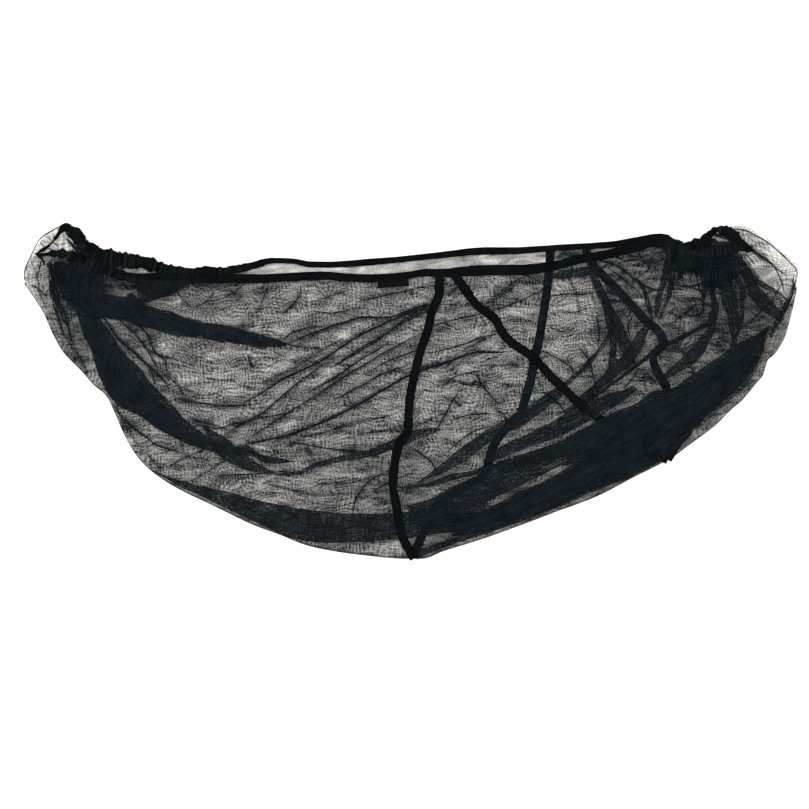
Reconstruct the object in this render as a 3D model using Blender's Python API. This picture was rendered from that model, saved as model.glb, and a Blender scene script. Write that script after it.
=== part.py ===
"""Bassinet mosquito net, taken off its bassinet and laid flat on a table.

The net is a bag of three panels (foot, gusset and head) sewn edge to edge. Each panel goes all round:
it starts at the back edge of the mouth, runs under the bag to the fold that makes the outline,
turns round there and comes back over the top to the front edge of the mouth. Where slack cloth has
been laid over, the top layer doubles back on itself in a pleat. Two tapes cover the two seams on
the outside. One binding, folded over the net's edge, runs all round the mouth, flat along the
middle and gathered by elastic at both ends. A blank label is sewn below its front edge.

Lengths are millimetres. X runs from the foot end to the head end, Y from the folded edge of the
bag towards its mouth, Z up from the table.
"""

import math
from bisect import bisect_right

import bmesh
import bpy
from mathutils import Vector

MM = 0.001
MIDDLE_X = 5.0  # middle of the length; the origin is under the centre of the whole footprint
MIDDLE_Y = 1.4

NET = 1.0  # thickness of a layer of net
TAPE = 0.8  # thickness of a seam tape and of each leaf of the binding
CLEAR = 0.3  # gap between pieces that touch
TAPE_WIDTH = 12.0
BINDING_WIDTH = 10.0
EDGE_IN_BINDING = 1.5  # the net's edge lies this far inside the binding's outer line
EDGE_FREE = 12.0  # and this far below it at the two ends, where the binding leaves the net
SEAM_GAP = 1.3  # from a seam's line to each panel's edge, under the tape

BACK_Z = NET / 2  # middle of the layer that lies on the table
FRONT_Z = 3.4  # middle of the upper layer
OVER_TAPE = TAPE + CLEAR  # how far a tape lifts the layer that lies on it
LOWER_TURN = NET / 2 + CLEAR * 1.5 + TAPE  # radius of a pleat's inner crease, with room for a tape
UPPER_TURN = 0.75  # radius of its outer crease
SHORTEST_PASS = 1.0  # length of a pleat's middle pass where it dies out
PLEAT_FULL = 3.0  # a pleat narrower than this stands up as a ridge
LIE_DOWN = 8.0  # run in which the top pass of a pleat comes down again
FLAT_STEP = 0.35  # spacing of the crease points where a pleat has died out

EAR_PUFF = 9.0  # how far the loose net past the gathers stands up
RIPPLE = 0.8
RUFFLE = 24.0  # from one ruffle of the gathered binding to the next
RUFFLE_HEIGHT = 3.0
LOOP_SQUEEZE = 0.45  # how much the elastic narrows the binding where it turns over at the ends
LOOP_SECTIONS = 3  # sections of the binding from one point of a loop to the next
LEAST_STATION = 9.0  # least spacing of the binding's sections along its flat middle
FOOT_END, HEAD_END = -437.0, 400.0  # where the binding leaves the net to pass round each end

LABEL_LEFT, LABEL_RIGHT, LABEL_HEIGHT = -38.0, 3.0, 10.0

# x, then the y of the outline (where the net folds) and of the outer lines of the front and the back
# of the mouth. Past the ends of the binding those two are the net's own edges.
SECTION_COLUMNS = ("x", "fold", "front", "back")
SECTIONS = (
    (-500, 141, 158, 159),
    (-494, 133, 170, 172),
    (-486, 121, 177, 186),
    (-475, 103, 180, 202),
    (-465, 80, 182, 210),
    (-450, 53, 183, 218),
    (-437, 39, 183, 222),
    (-425, 27, 181, 208),
    (-410, 10, 178, 195),
    (-393, -5, 174, 188),
    (-380, -35, 170, 187),
    (-370, -60, 168, 185),
    (-355, -85, 163, 183),
    (-335, -105, 159, 174),
    (-305, -122, 155, 166),
    (-250, -148, 153, 163),
    (-200, -172, 153, 169),
    (-165, -187, 154, 176),
    (-135, -199, 156, 170),
    (-60, -213, 154, 174),
    (0, -218, 155, 179),
    (20, -218, 156, 180),
    (100, -190, 165, 188),
    (200, -153, 172, 194),
    (240, -137, 184, 197),
    (300, -110, 191, 203),
    (330, -95, 193, 208),
    (350, -84, 188, 201),
    (365, -73, 186, 196),
    (395, -51, 186, 202),
    (405, -43, 188, 214),
    (440, -10, 190, 213),
    (460, 15, 186, 203),
    (478, 50, 178, 191),
    (490, 70, 171, 180),
    (500, 100, 164, 170),
    (510, 135, 154, 160),
)

# The x of the two seams at each tenth of the way from the fold (first row) to the mouth (last row).
SEAM_COLUMNS = ("foot_front", "foot_back", "head_front", "head_back")
SEAMS = (
    (10, 10, 342, 342),
    (-5, 27, 297, 360),
    (-14, 46, 254, 356),
    (-16, 90, 224, 343),
    (-9, 126, 199, 330),
    (2, 155, 175, 331),
    (8, 165, 144, 328),
    (16, 174, 121, 298),
    (28, 181, 96, 272),
    (39, 185, 79, 245),
    (43, 189, 60, 235),
)

# Pleats of the upper layer: x, and the y of the lower and the upper crease. Equal is no pleat.
PLEAT_COLUMNS = ("x", "low", "high")
EDGE_PLEAT = (
    (-500, 143, 143),
    (-450, 70, 70),
    (-393, 15, 15),
    (-355, -72, -72),
    (-312, -105, -105),
    (-275, -133, -122),
    (-250, -143, -129),
    (-200, -166, -143),
    (-150, -184, -151),
    (-100, -194, -156),
    (-50, -193, -159),
    (0, -190, -159),
    (50, -187, -161),
    (100, -178, -156),
    (150, -160, -136),
    (200, -141, -114),
    (250, -122, -94),
    (285, -100, -86),
    (308, -88, -88),
    (345, -80, -80),
)
FOOT_PLEAT = (
    (-500, 146, 146),
    (-465, 112, 112),
    (-442, 108, 108),
    (-425, 92, 130),
    (-400, 24, 97),
    (-380, -10, 70),
    (-350, -36, 32),
    (-325, -50, 2),
    (-300, -61, -21),
    (-250, -76, -56),
    (-200, -87, -76),
    (-178, -90, -90),
    (-100, -100, -100),
    (45, -100, -100),
)
UPPER_PLEAT = (
    (-500, 149, 149),
    (-465, 133, 133),
    (-437, 129, 129),
    (-425, 142, 142),
    (-415, 135, 135),
    (-400, 113, 133),
    (-350, 91, 112),
    (-300, 78, 100),
    (-250, 70, 91),
    (-200, 62, 79),
    (-160, 62, 62),
    (45, 66, 66),
)
BAND_PLEAT = (
    (-30, -142, -142),
    (18, -142, -142),
    (50, -146, -134),
    (100, -141, -105),
    (150, -122, -88),
    (200, -98, -64),
    (250, -78, -38),
    (300, -60, -16),
    (342, -46, 2),
    (375, -34, 28),
    (400, -18, 50),
    (425, 4, 70),
    (450, 38, 90),
    (475, 84, 112),
    (492, 112, 112),
    (510, 140, 140),
)

# Lines across each panel: plain ones at these x, then shares of the way to the line by the seam.
FOOT_LINES = (-500, -486, -468, -450, -437, -415, -393, -372, -350)
FOOT_SHARES = (0.09, 0.19, 0.3, 0.41, 0.52, 0.64, 0.76, 0.88)
GUSSET_SHARES = (0.25, 0.5, 0.75)
HEAD_SHARES = (0.2, 0.4, 0.6, 0.8)
HEAD_LINES = (378, 400, 414, 432, 450, 468, 484, 496, 510)
BY_TAPE, CLEAR_OF_TAPE = 7.0, 15.0  # distances of the two lines beside each seam

# Where the gathered binding passes round each end above the net: x, y, z.
HEAD_LOOP = ((408, 214.4, 10.4), (419, 214, 13), (432, 211, 14), (439, 201, 14), (429, 190, 14), (412, 187, 12))
FOOT_LOOP = ((-448, 184, 12), (-460, 189, 14), (-466, 200, 14), (-460, 211, 13), (-448, 218, 9))


def smooth(xs, values):
    """A curve through the points that never swings past them."""
    steps = [(values[i + 1] - values[i]) / (xs[i + 1] - xs[i]) for i in range(len(xs) - 1)]
    slopes = [steps[0]]
    for before, after in zip(steps, steps[1:]):
        slopes.append(0.0 if before * after <= 0 else 2 * before * after / (before + after))
    slopes.append(steps[-1])

    def value(x):
        x = min(max(x, xs[0]), xs[-1])
        i = min(bisect_right(xs, x), len(xs) - 1) - 1
        wide = xs[i + 1] - xs[i]
        t = (x - xs[i]) / wide
        ends = values[i] * (1 + 2 * t) * (1 - t) ** 2 + values[i + 1] * (3 - 2 * t) * t * t
        return ends + wide * t * (1 - t) * (slopes[i] * (1 - t) - slopes[i + 1] * t)

    return value


def curves(rows, names):
    """One smooth curve for each named column after the first."""
    xs = [row[0] for row in rows]
    return {name: smooth(xs, [row[i] for row in rows]) for i, name in enumerate(names) if i}


OUTLINE = curves(SECTIONS, SECTION_COLUMNS)
TENTHS = [i / 10 for i in range(len(SEAMS))]
SEAM_X = {
    name: smooth(TENTHS, [row[i] for row in SEAMS]) for i, name in enumerate(SEAM_COLUMNS)
}


def ramp(value, start, end):
    """0 at start to 1 at end, level at both."""
    t = min(max((value - start) / (end - start), 0.0), 1.0)
    return t * t * (3 - 2 * t)


def gathered(x):
    """1 where elastic gathers the mouth, 0 along its flat middle."""
    return max(1 - ramp(x, -300, -240), ramp(x, 322, 352))


def edge_height(x, side):
    """Middle height of the net's edge inside the binding."""
    flat, full = (BACK_Z + OVER_TAPE, 2.5) if side == "back" else (5.4, 10.0)
    return flat + (full - flat) * gathered(x)


def past_binding(x):
    """How far past the binding's ends, negative between them."""
    return max(FOOT_END - x, x - HEAD_END)


def edge_inset(x, side):
    """How far the net's edge lies below the outer line of the mouth."""
    past = past_binding(x)
    if past <= 0:
        return EDGE_IN_BINDING + (EDGE_FREE - EDGE_IN_BINDING) * ramp(past, -22, 0)
    if side == "back":
        return 0.5 + (EDGE_FREE - 0.5) * (1 - ramp(past, 5, 17))
    return min(EDGE_FREE, 0.3 * (OUTLINE["front"](x) - OUTLINE["fold"](x)))


def puff(x, y):
    """The loose net past the gathers stands off the table."""
    ear = max(1 - ramp(x, -490, -420), ramp(x, 420, 490))
    tip = ramp(x, -502, -480) * (1 - ramp(x, 492, 512))
    across = (y - OUTLINE["fold"](x)) / (OUTLINE["back"](x) + 20 - OUTLINE["fold"](x))
    return EAR_PUFF * ear * tip * math.sin(math.pi * min(max(across, 0.0), 1.0))


def ripple(x, y):
    """Slow unevenness of the upper layer, which dies out at the outline."""
    wave = 1 + math.sin(x / 47.0 + y / 61.0)
    return RIPPLE * wave * ramp(y, OUTLINE["fold"](x), OUTLINE["fold"](x) + 60)


class Line:
    """A line across a panel, from the fold to the mouth, on the back and on the front."""

    def __init__(self, x_of, by_tape=False):
        self.by_tape = by_tape
        self.plan = {side: self._plan(x_of, side) for side in ("back", "front")}
        self.length = {side: self._length(side) for side in self.plan}

    @staticmethod
    def _plan(x_of, side):
        fold_x, mouth_x = x_of(side, 0.0), x_of(side, 1.0)
        low = OUTLINE["fold"](fold_x)
        high = OUTLINE[side](mouth_x) - edge_inset(mouth_x, side)
        return [Vector((x_of(side, t), low + (high - low) * t)) for t in TENTHS]

    def _length(self, side):
        plan = self.plan[side]
        return sum((b - a).length for a, b in zip(plan, plan[1:]))

    def at(self, side, run):
        """The plan point this far from the fold; below 0 it lies outside the outline."""
        plan = self.plan[side]
        for a, b in zip(plan, plan[1:]):
            step = (b - a).length
            if run <= step or b is plan[-1]:
                return a + (b - a) * (run / step)
            run -= step

    def crossing(self, crease, steps=120):
        """How far from the fold the front of this line first rises above a crease."""
        step = self.length["front"] / steps
        below = 0.0
        for i in range(steps + 1):
            point = self.at("front", step * i)
            over = point.y - crease(point.x)
            if over >= 0:
                return step * (i - over / (over - below)) if i and over > below else step * i
            below = over
        return self.length["front"]

    def height(self, side, run):
        """Middle height of the layer there, away from pleats."""
        point = self.at(side, run)
        nearness = 1 - ramp(self.length[side] - run, 14 * self.short(side), 30 * self.short(side))
        mouth_x = self.plan[side][-1].x
        edge = edge_height(mouth_x, side) * (1 - ramp(past_binding(mouth_x), 0, 14))
        if side == "back":
            base = BACK_Z + (OVER_TAPE if self.by_tape else 0.0) + 0.3 * puff(*point)
        else:
            base = FRONT_Z + puff(*point) + (0.0 if self.by_tape else ripple(*point))
        return base + (max(edge, base) - base) * nearness

    def short(self, side):
        """Less than 1 where the panel is too short for full-length steps."""
        return min(1.0, self.length[side] / 90)


def pleat_at(line, pleat):
    """(lower crease, upper crease, how far it is laid over from 0 to 1) of a pleat on a line."""
    low = line.crossing(pleat["low"])
    point = line.at("front", low)
    if pleat["high"](point.x) - pleat["low"](point.x) <= 0.01:
        return low, low, 0.0
    high = line.crossing(pleat["high"])
    return low, max(high, low), min(max(high - low, 0.0) / PLEAT_FULL, 1.0)


def pleat_points(line, low, high, laid):
    """The upper layer through one pleat, as (run, height): up to the upper crease, back over itself
    to the lower crease, and on over both, then down again."""
    turn = math.pi * laid
    rise = max(2 * LOWER_TURN * math.tan(turn / 4), FLAT_STEP)
    rise_above = max(2 * UPPER_TURN * math.tan(turn / 4), FLAT_STEP)
    middle = max(high - low, SHORTEST_PASS)
    run, lift = (high if laid == 1.0 else low), 0.0
    points = [(run, lift)]
    for length, heading in ((rise, turn / 2), (middle, turn), (rise_above, turn / 2)):
        run += length * math.cos(heading)
        lift += length * math.sin(heading)
        points.append((run, lift))
    over = max(points[0][0], run) + 1.0 + 1.5 * laid
    points.append((over, lift))
    points.append((over + 1.0 + (LIE_DOWN - 1.0) * laid, 0.0))
    return [(r, line.height("front", r) + z) for r, z in points]


def spread(start, end, count):
    """Evenly spaced values strictly between two others."""
    return [start + (end - start) * (i + 1) / (count + 1) for i in range(count)]


def net_section(line, pleats, fills):
    """The middle of the net along a line from the back of the mouth round the fold to the front, as
    (side, run, height). fills: how many plain points come before each pleat and after the last."""
    long, short = line.length["back"], line.short("back")
    below, above = line.height("back", 0.0), line.height("front", 0.0)
    radius = (above - below) / 2
    turn = NET / 2 + 0.6 * radius
    runs = [long, long - 14 * short, long - 30 * short]
    runs += [turn + (long - 30 * short - turn) * share for share in (0.78, 0.52, 0.27, 0.07)]
    section = [("back", run, line.height("back", run)) for run in runs]
    section.append(("back", turn, below))
    section.append(("back", NET / 2, below + radius))
    section.append(("front", turn, above))

    long, short = line.length["front"], line.short("front")
    reached = section[-1][1]
    front = []
    for pleat, count in zip(pleats, fills):
        low, high, laid = pleat_at(line, pleat)
        low = max(low, reached + 1.0)
        points = pleat_points(line, low, max(high, low), laid)
        front += [(run, line.height("front", run)) for run in spread(reached, points[0][0], count)]
        front += points
        reached = points[-1][0]
    runs = spread(reached, long - 30 * short, fills[-1])
    runs += [long - 30 * short, long - 14 * short, long]
    front += [(run, line.height("front", run)) for run in runs]
    if all(pleat_at(line, pleat)[2] == 0 for pleat in pleats):
        front = level(line, front, section[-1][1])
    return section + [("front", run, height) for run, height in front]


def level(line, points, start):
    """Spaces out the points of a line without pleats, so that none passes the next."""
    runs = [run for run, height in points]
    end = line.length["front"]
    step = min(FLAT_STEP, 0.8 * (end - start) / len(runs))
    for i in range(len(runs)):
        runs[i] = max(runs[i], (runs[i - 1] if i else start) + step)
    runs[-1] = end
    for i in range(len(runs) - 2, -1, -1):
        runs[i] = min(runs[i], runs[i + 1] - step)
    return [(run, line.height("front", run)) for run in runs]


def offset(section, distance):
    """The section moved sideways, outwards where the distance is positive, with square corners."""
    flat = [Vector((run, height)) for side, run, height in section]
    ways = [(b - a).normalized() for a, b in zip(flat, flat[1:])]
    moved = []
    for i, (side, run, height) in enumerate(section):
        before, after = ways[max(i - 1, 0)], ways[min(i, len(ways) - 1)]
        normals = [Vector((-way.y, way.x)) for way in (before, after)]
        middle = (normals[0] + normals[1]).normalized()
        corner = distance / max(middle.dot(normals[0]), 0.6)
        moved.append((side, run + middle.x * corner, height + middle.y * corner))
    return moved


def place(line, section):
    """Section points to places in space."""
    points = []
    for side, run, height in section:
        plan = line.at(side, run)
        points.append(Vector((plan.x, plan.y, max(height, 0.0))))
    return points


def seam_line(seam, shift, by_tape=True):
    """A line at a fixed distance beside a seam, or nearer where the gusset narrows."""

    def x_of(side, t):
        gap = SEAM_X["head_" + side](t) - SEAM_X["foot_" + side](t)
        inwards = shift * (1 if seam == "foot" else -1) > 0
        reach = min(abs(shift), gap * 0.4 * abs(shift) / CLEAR_OF_TAPE) if inwards else abs(shift)
        return SEAM_X[seam + "_" + side](t) + math.copysign(reach, shift)

    return Line(x_of, by_tape), x_of


def blend(first, second, share):
    """A line that share of the way from one to another, each given by its x."""
    return Line(lambda side, t: first(side, t) * (1 - share) + second(side, t) * share)


def foot_lines():
    clear, clear_x = seam_line("foot", -CLEAR_OF_TAPE, False)
    lines = [Line(lambda side, t, x=x: x) for x in FOOT_LINES]
    lines += [blend(lambda side, t: FOOT_LINES[-1], clear_x, share) for share in FOOT_SHARES]
    return lines + [clear, seam_line("foot", -BY_TAPE)[0], seam_line("foot", -SEAM_GAP)[0]]


def gusset_lines():
    foot_clear, foot_x = seam_line("foot", CLEAR_OF_TAPE, False)
    head_clear, head_x = seam_line("head", -CLEAR_OF_TAPE, False)
    lines = [seam_line("foot", SEAM_GAP)[0], seam_line("foot", BY_TAPE)[0], foot_clear]
    lines += [blend(foot_x, head_x, share) for share in GUSSET_SHARES]
    return lines + [head_clear, seam_line("head", -BY_TAPE)[0], seam_line("head", -SEAM_GAP)[0]]


def head_lines():
    clear, clear_x = seam_line("head", CLEAR_OF_TAPE, False)
    lines = [seam_line("head", SEAM_GAP)[0], seam_line("head", BY_TAPE)[0], clear]
    lines += [blend(clear_x, lambda side, t: HEAD_LINES[0], share) for share in HEAD_SHARES]
    return lines + [Line(lambda side, t, x=x: x) for x in HEAD_LINES]


def between(first, second, share):
    """A line that share of the way between two finished lines."""
    line = object.__new__(Line)
    line.by_tape = first.by_tape and second.by_tape
    line.plan = {
        side: [a.lerp(b, share) for a, b in zip(first.plan[side], second.plan[side])]
        for side in first.plan
    }
    line.length = {side: line._length(side) for side in line.plan}
    return line


def with_pleat_ends(lines, pleats):
    """Adds two lines wherever a pleat dies out between two others, so that it turns over in steps."""
    finished = [lines[0]]
    for first, second in zip(lines, lines[1:]):
        shares = set()
        for pleat in pleats:
            start, end = pleat_at(first, pleat)[2], pleat_at(second, pleat)[2]
            if abs(start - end) < 0.5:
                continue
            for target in (1 / 3, 2 / 3):
                low, high = 0.0, 1.0
                for _ in range(14):
                    middle = (low + high) / 2
                    past = pleat_at(between(first, second, middle), pleat)[2] > target
                    low, high = (low, middle) if past == (end > start) else (middle, high)
                if min((abs(low - share) for share in shares), default=1.0) > 0.005:
                    shares.add(low)
        finished += [between(first, second, share) for share in sorted(shares)]
        finished.append(second)
    return finished


def link(name, vertices, faces, colour, roughness):
    """A finished piece, in metres about the origin under the centre of the footprint."""
    mesh = bpy.data.meshes.new(name)
    moved = [((p.x - MIDDLE_X) * MM, (p.y - MIDDLE_Y) * MM, p.z * MM) for p in vertices]
    mesh.from_pydata(moved, [], faces)
    shell = bmesh.new()
    shell.from_mesh(mesh)
    bmesh.ops.triangulate(shell, faces=shell.faces)
    bmesh.ops.recalc_face_normals(shell, faces=shell.faces)
    shell.to_mesh(mesh)
    shell.free()
    material = bpy.data.materials.new(name)
    material.use_nodes = True
    shader = material.node_tree.nodes["Principled BSDF"]
    shader.inputs["Base Color"].default_value = colour
    shader.inputs["Roughness"].default_value = roughness
    shader.inputs["Metallic"].default_value = 0.0
    mesh.materials.append(material)
    bpy.context.scene.collection.objects.link(bpy.data.objects.new(name, mesh))


def shell_of(outer, inner):
    """Vertices and faces of a thin closed solid between two grids of points."""
    rows, columns = len(outer), len(outer[0])
    vertices = [p for row in outer for p in row] + [p for row in inner for p in row]
    half = rows * columns
    faces = []
    for i in range(rows - 1):
        for j in range(columns - 1):
            a, b = i * columns + j, (i + 1) * columns + j
            faces.append((a, b, b + 1, a + 1))
            faces.append((half + a, half + a + 1, half + b + 1, half + b))
    rim = [(0, j) for j in range(columns)] + [(i, columns - 1) for i in range(1, rows)]
    rim += [(rows - 1, j) for j in range(columns - 2, -1, -1)]
    rim += [(i, 0) for i in range(rows - 2, 0, -1)]
    for (i, j), (k, m) in zip(rim, rim[1:] + rim[:1]):
        a, b = i * columns + j, k * columns + m
        faces.append((a, a + half, b + half, b))
    return vertices, faces


def make_panel(name, lines, pleats, fills):
    """One panel of net. Returns its edge points at the back and at the front of the mouth."""
    outer, inner, backs, fronts = [], [], [], []
    for line in with_pleat_ends(lines, pleats):
        section = net_section(line, pleats, fills)
        outer.append(place(line, offset(section, NET / 2)))
        inner.append(place(line, offset(section, -NET / 2)))
        backs.append((outer[-1][0] + inner[-1][0]) / 2)
        fronts.append((outer[-1][-1] + inner[-1][-1]) / 2)
    link(name, *shell_of(outer, inner), (0.02, 0.024, 0.027, 1.0), 0.75)
    return backs, fronts


def below_binding(line, side):
    """How far along a line the binding's lower edge lies, less a small gap."""
    run = line.length[side]
    gap = BINDING_WIDTH + 3 * CLEAR
    while line.at(side, run).y > OUTLINE[side](line.at(side, run).x) - gap:
        run -= CLEAR
    return run


def make_seam_tape(name, seam, pleats, fills):
    """A tape over a seam, outside the bag, round the fold and up both sides to the binding."""
    outer, inner = [], []
    for shift in (-TAPE_WIDTH / 2, 0.0, TAPE_WIDTH / 2):
        line = Line(lambda side, t, shift=shift: SEAM_X[seam + "_" + side](t) + shift, True)
        section = net_section(line, pleats, fills)
        section[0] = ("back", below_binding(line, "back"), section[0][2])
        section[-1] = ("front", below_binding(line, "front"), section[-1][2])
        near = NET / 2 + CLEAR
        inner.append(place(line, offset(section, near)))
        outer.append(place(line, offset(section, near + TAPE)))
    link(name, *shell_of(outer, inner), (0.012, 0.014, 0.016, 1.0), 0.6)


def edge_at(edge, x):
    """The point of the net's edge at an x."""
    xs = [point.x for point in edge]
    i = min(max(bisect_right(xs, x), 1), len(xs) - 1)
    share = (x - xs[i - 1]) / (xs[i] - xs[i - 1])
    return edge[i - 1].lerp(edge[i], min(max(share, 0.0), 1.0))


def binding_stations(edge):
    """x of the binding's sections: the lines of the net, and thirds of a ruffle in the gathers."""
    stations = [FOOT_END, HEAD_END]
    ruffled = [FOOT_END + RUFFLE / 3 * i for i in range(round((HEAD_END - FOOT_END) * 3 / RUFFLE))]
    ruffled = [x for x in ruffled if gathered(x) > 0.2]
    for x in [point.x for point in edge if FOOT_END < point.x < HEAD_END] + ruffled:
        room = RUFFLE / 6 if gathered(x) > 0.2 else LEAST_STATION
        if min(abs(x - other) for other in stations) > room:
            stations.append(x)
    return sorted(stations)


def binding_section(middle, along, across, ruffles, width=BINDING_WIDTH):
    """The folded binding round a point of its slot: two leaves joined at the outer line. The slot
    opens away from `across`. ruffles: how far each leaf is ruffled, the one below `up` first."""
    up = along.cross(across)
    slot, leaf = NET / 2 + CLEAR, NET / 2 + CLEAR + TAPE
    outer, lower = EDGE_IN_BINDING, EDGE_IN_BINDING - width
    below, above = (RUFFLE_HEIGHT * ruffle for ruffle in ruffles)
    corners = (
        (lower, -leaf - 0.2 * below),
        (lower * 0.4, -leaf - below),
        (outer, -leaf - 0.5 * below),
        (outer, leaf + 0.5 * above),
        (lower * 0.4, leaf + above),
        (lower, leaf + 0.2 * above),
        (lower, slot),
        (outer - TAPE, slot),
        (outer - TAPE, -slot),
        (lower, -slot),
    )
    return [middle + across * y + up * z for y, z in corners]


def binding_run(side, edge):
    """Sections of the binding along one edge of the mouth, ruffled on the side away from the table."""
    along = Vector((1, 0, 0)) if side == "back" else Vector((-1, 0, 0))
    sections = []
    for x in binding_stations(edge):
        middle = edge_at(edge, x)
        wave = 0.5 + 0.5 * math.cos(2 * math.pi * x / RUFFLE)
        ruffle = gathered(x) * wave * ramp(min(x - FOOT_END, HEAD_END - x), 0, 12)
        ruffles = (0.0, ruffle) if side == "back" else (ruffle, 0.0)
        sections.append(binding_section(middle, along, Vector((0, 1, 0)), ruffles))
    return sections if side == "back" else sections[::-1]


def binding_loop(start, path, end, turned):
    """Sections round one end of the mouth, where the binding stands on its edge as it turns over.
    turned: its turn about its own length at the start, 0 or pi; it ends at the other."""
    corners = [start] + [Vector(point) for point in path] + [end]
    numbers = list(range(len(corners)))
    ways = [smooth(numbers, [corner[axis] for corner in corners]) for axis in range(3)]
    count = LOOP_SECTIONS * (len(corners) - 1)
    places = [Vector([way(i / LOOP_SECTIONS) for way in ways]) for i in range(count + 1)]
    sections = []
    for i in range(1, count):
        along = (places[i + 1] - places[i - 1]).normalized()
        left = Vector((-along.y, along.x, 0)).normalized()
        angle = abs(turned - math.pi * ramp(i, 0, len(places) - 1))
        across = left * math.cos(angle) + Vector((0, 0, 1)) * math.sin(angle)
        width = BINDING_WIDTH * (1 - LOOP_SQUEEZE * math.sin(angle))
        sections.append(binding_section(places[i], along, across, (0.0, 0.0), width))
    return sections


def slot_line(edge, side):
    """Where the binding's slot runs, from the points of the net's edge."""
    risen = [Vector((0, edge_inset(p.x, side) - EDGE_IN_BINDING, 0)) for p in edge]
    return [point + rise for point, rise in zip(edge, risen)]


def make_binding(backs, fronts):
    """The binding, one closed loop: along the back, round the head end, along the front and home."""
    back, front = slot_line(backs, "back"), slot_line(fronts, "front")
    sections = binding_run("back", back)
    head_ends = edge_at(back, HEAD_END), edge_at(front, HEAD_END)
    sections += binding_loop(head_ends[0], HEAD_LOOP, head_ends[1], 0.0)
    sections += binding_run("front", front)
    foot_ends = edge_at(front, FOOT_END), edge_at(back, FOOT_END)
    sections += binding_loop(foot_ends[0], FOOT_LOOP, foot_ends[1], math.pi)
    vertices = [point for section in sections for point in section]
    around, total = len(sections[0]), len(vertices)
    faces = []
    for start in range(0, total, around):
        for j in range(around):
            k = (j + 1) % around
            after = (start + around) % total
            faces.append((start + j, after + j, after + k, start + k))
    link("mouth_binding", vertices, faces, (0.012, 0.014, 0.016, 1.0), 0.65)


def make_label():
    """A small blank label on the front panel, just below the binding."""
    rows = []
    for x in (LABEL_LEFT, (LABEL_LEFT + LABEL_RIGHT) / 2, LABEL_RIGHT):
        top = OUTLINE["front"](x) - BINDING_WIDTH - CLEAR
        under = edge_height(x, "front") + NET / 2 + CLEAR
        rows.append([Vector((x, top - LABEL_HEIGHT * share, under)) for share in (0.0, 0.5, 1.0)])
    raised = [[p + Vector((0, 0, TAPE / 2)) for p in row] for row in rows]
    link("label", *shell_of(raised, rows), (0.01, 0.01, 0.011, 1.0), 0.45)


def make_net():
    edge, foot, upper, band = (
        curves(rows, PLEAT_COLUMNS) for rows in (EDGE_PLEAT, FOOT_PLEAT, UPPER_PLEAT, BAND_PLEAT)
    )
    foot_edges = make_panel("foot_panel", foot_lines(), (edge, foot, upper), (0, 1, 1, 2))
    gusset_edges = make_panel("gusset_panel", gusset_lines(), (edge, band), (0, 1, 4))
    head_edges = make_panel("head_panel", head_lines(), (band,), (1, 4))
    make_seam_tape("foot_seam_tape", "foot", (edge,), (0, 6))
    make_seam_tape("head_seam_tape", "head", (band,), (1, 6))
    backs, fronts = (
        [point for edges in (foot_edges, gusset_edges, head_edges) for point in edges[side]]
        for side in (0, 1)
    )
    make_binding(backs, fronts)
    make_label()


for old in list(bpy.data.objects):
    bpy.data.objects.remove(old)
make_net()
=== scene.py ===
"""Bassinet mosquito net: black net bag laid flat, its mouth bound and gathered by elastic at both ends."""

import math
from collections import namedtuple

import bmesh
import bpy
import numpy as np
from bpy.props import FloatProperty, FloatVectorProperty, PointerProperty
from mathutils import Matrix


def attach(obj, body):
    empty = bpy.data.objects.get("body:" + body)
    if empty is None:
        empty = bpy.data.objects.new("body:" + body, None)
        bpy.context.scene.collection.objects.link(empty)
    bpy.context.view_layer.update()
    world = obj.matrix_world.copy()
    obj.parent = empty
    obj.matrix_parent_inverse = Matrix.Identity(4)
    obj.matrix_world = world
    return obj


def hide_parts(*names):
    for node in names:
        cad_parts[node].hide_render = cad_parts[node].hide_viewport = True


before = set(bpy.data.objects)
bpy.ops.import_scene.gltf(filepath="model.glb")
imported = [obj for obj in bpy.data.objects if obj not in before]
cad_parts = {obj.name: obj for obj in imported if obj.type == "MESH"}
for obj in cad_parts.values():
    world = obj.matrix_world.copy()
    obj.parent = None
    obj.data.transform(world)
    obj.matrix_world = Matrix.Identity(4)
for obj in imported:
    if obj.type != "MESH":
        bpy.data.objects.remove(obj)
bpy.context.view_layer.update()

bl_info = {
    "name": "Bassinet mosquito net",
    "version": (1, 0, 0),
    "blender": (4, 5, 0),
    "location": "3D Viewport > Sidebar > Net",
    "description": "Makes a gathered net bag, its tapes, mouth binding and label, and a plain stage",
    "category": "Add Mesh",
}

# Tables are in millimetres: X from the foot end to the head end, Y from the folded edge to the mouth.
MM = 0.001
MIDDLE_X, MIDDLE_Y = 5.0, 1.4  # the frame's origin in the tables' coordinates

BACK_LAYER = 0.7  # height of the layer that lies on the table
FRONT_LAYER = 3.6  # height of the upper layer, before its folds and waves
PLY_GAP = 0.9  # between the two plies of a fold laid flat
LAID_ON = 0.5  # between a fold and what it lies on
RIM = {"front": 6.0, "back": 2.4}  # height of the net's edge inside the binding along the flat middle
RIM_RISE = 4.0  # and how much higher it is where elastic gathers it
PUFF = 8.0  # how far the loose net past the gathers stands up

FOOT_END, HEAD_END = -500.0, 510.0  # x of the two ends of the bag
FOOT_ELASTIC, HEAD_ELASTIC = (-320, -220), (315, 352)  # x over which the gathers fade into the flat middle

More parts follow.
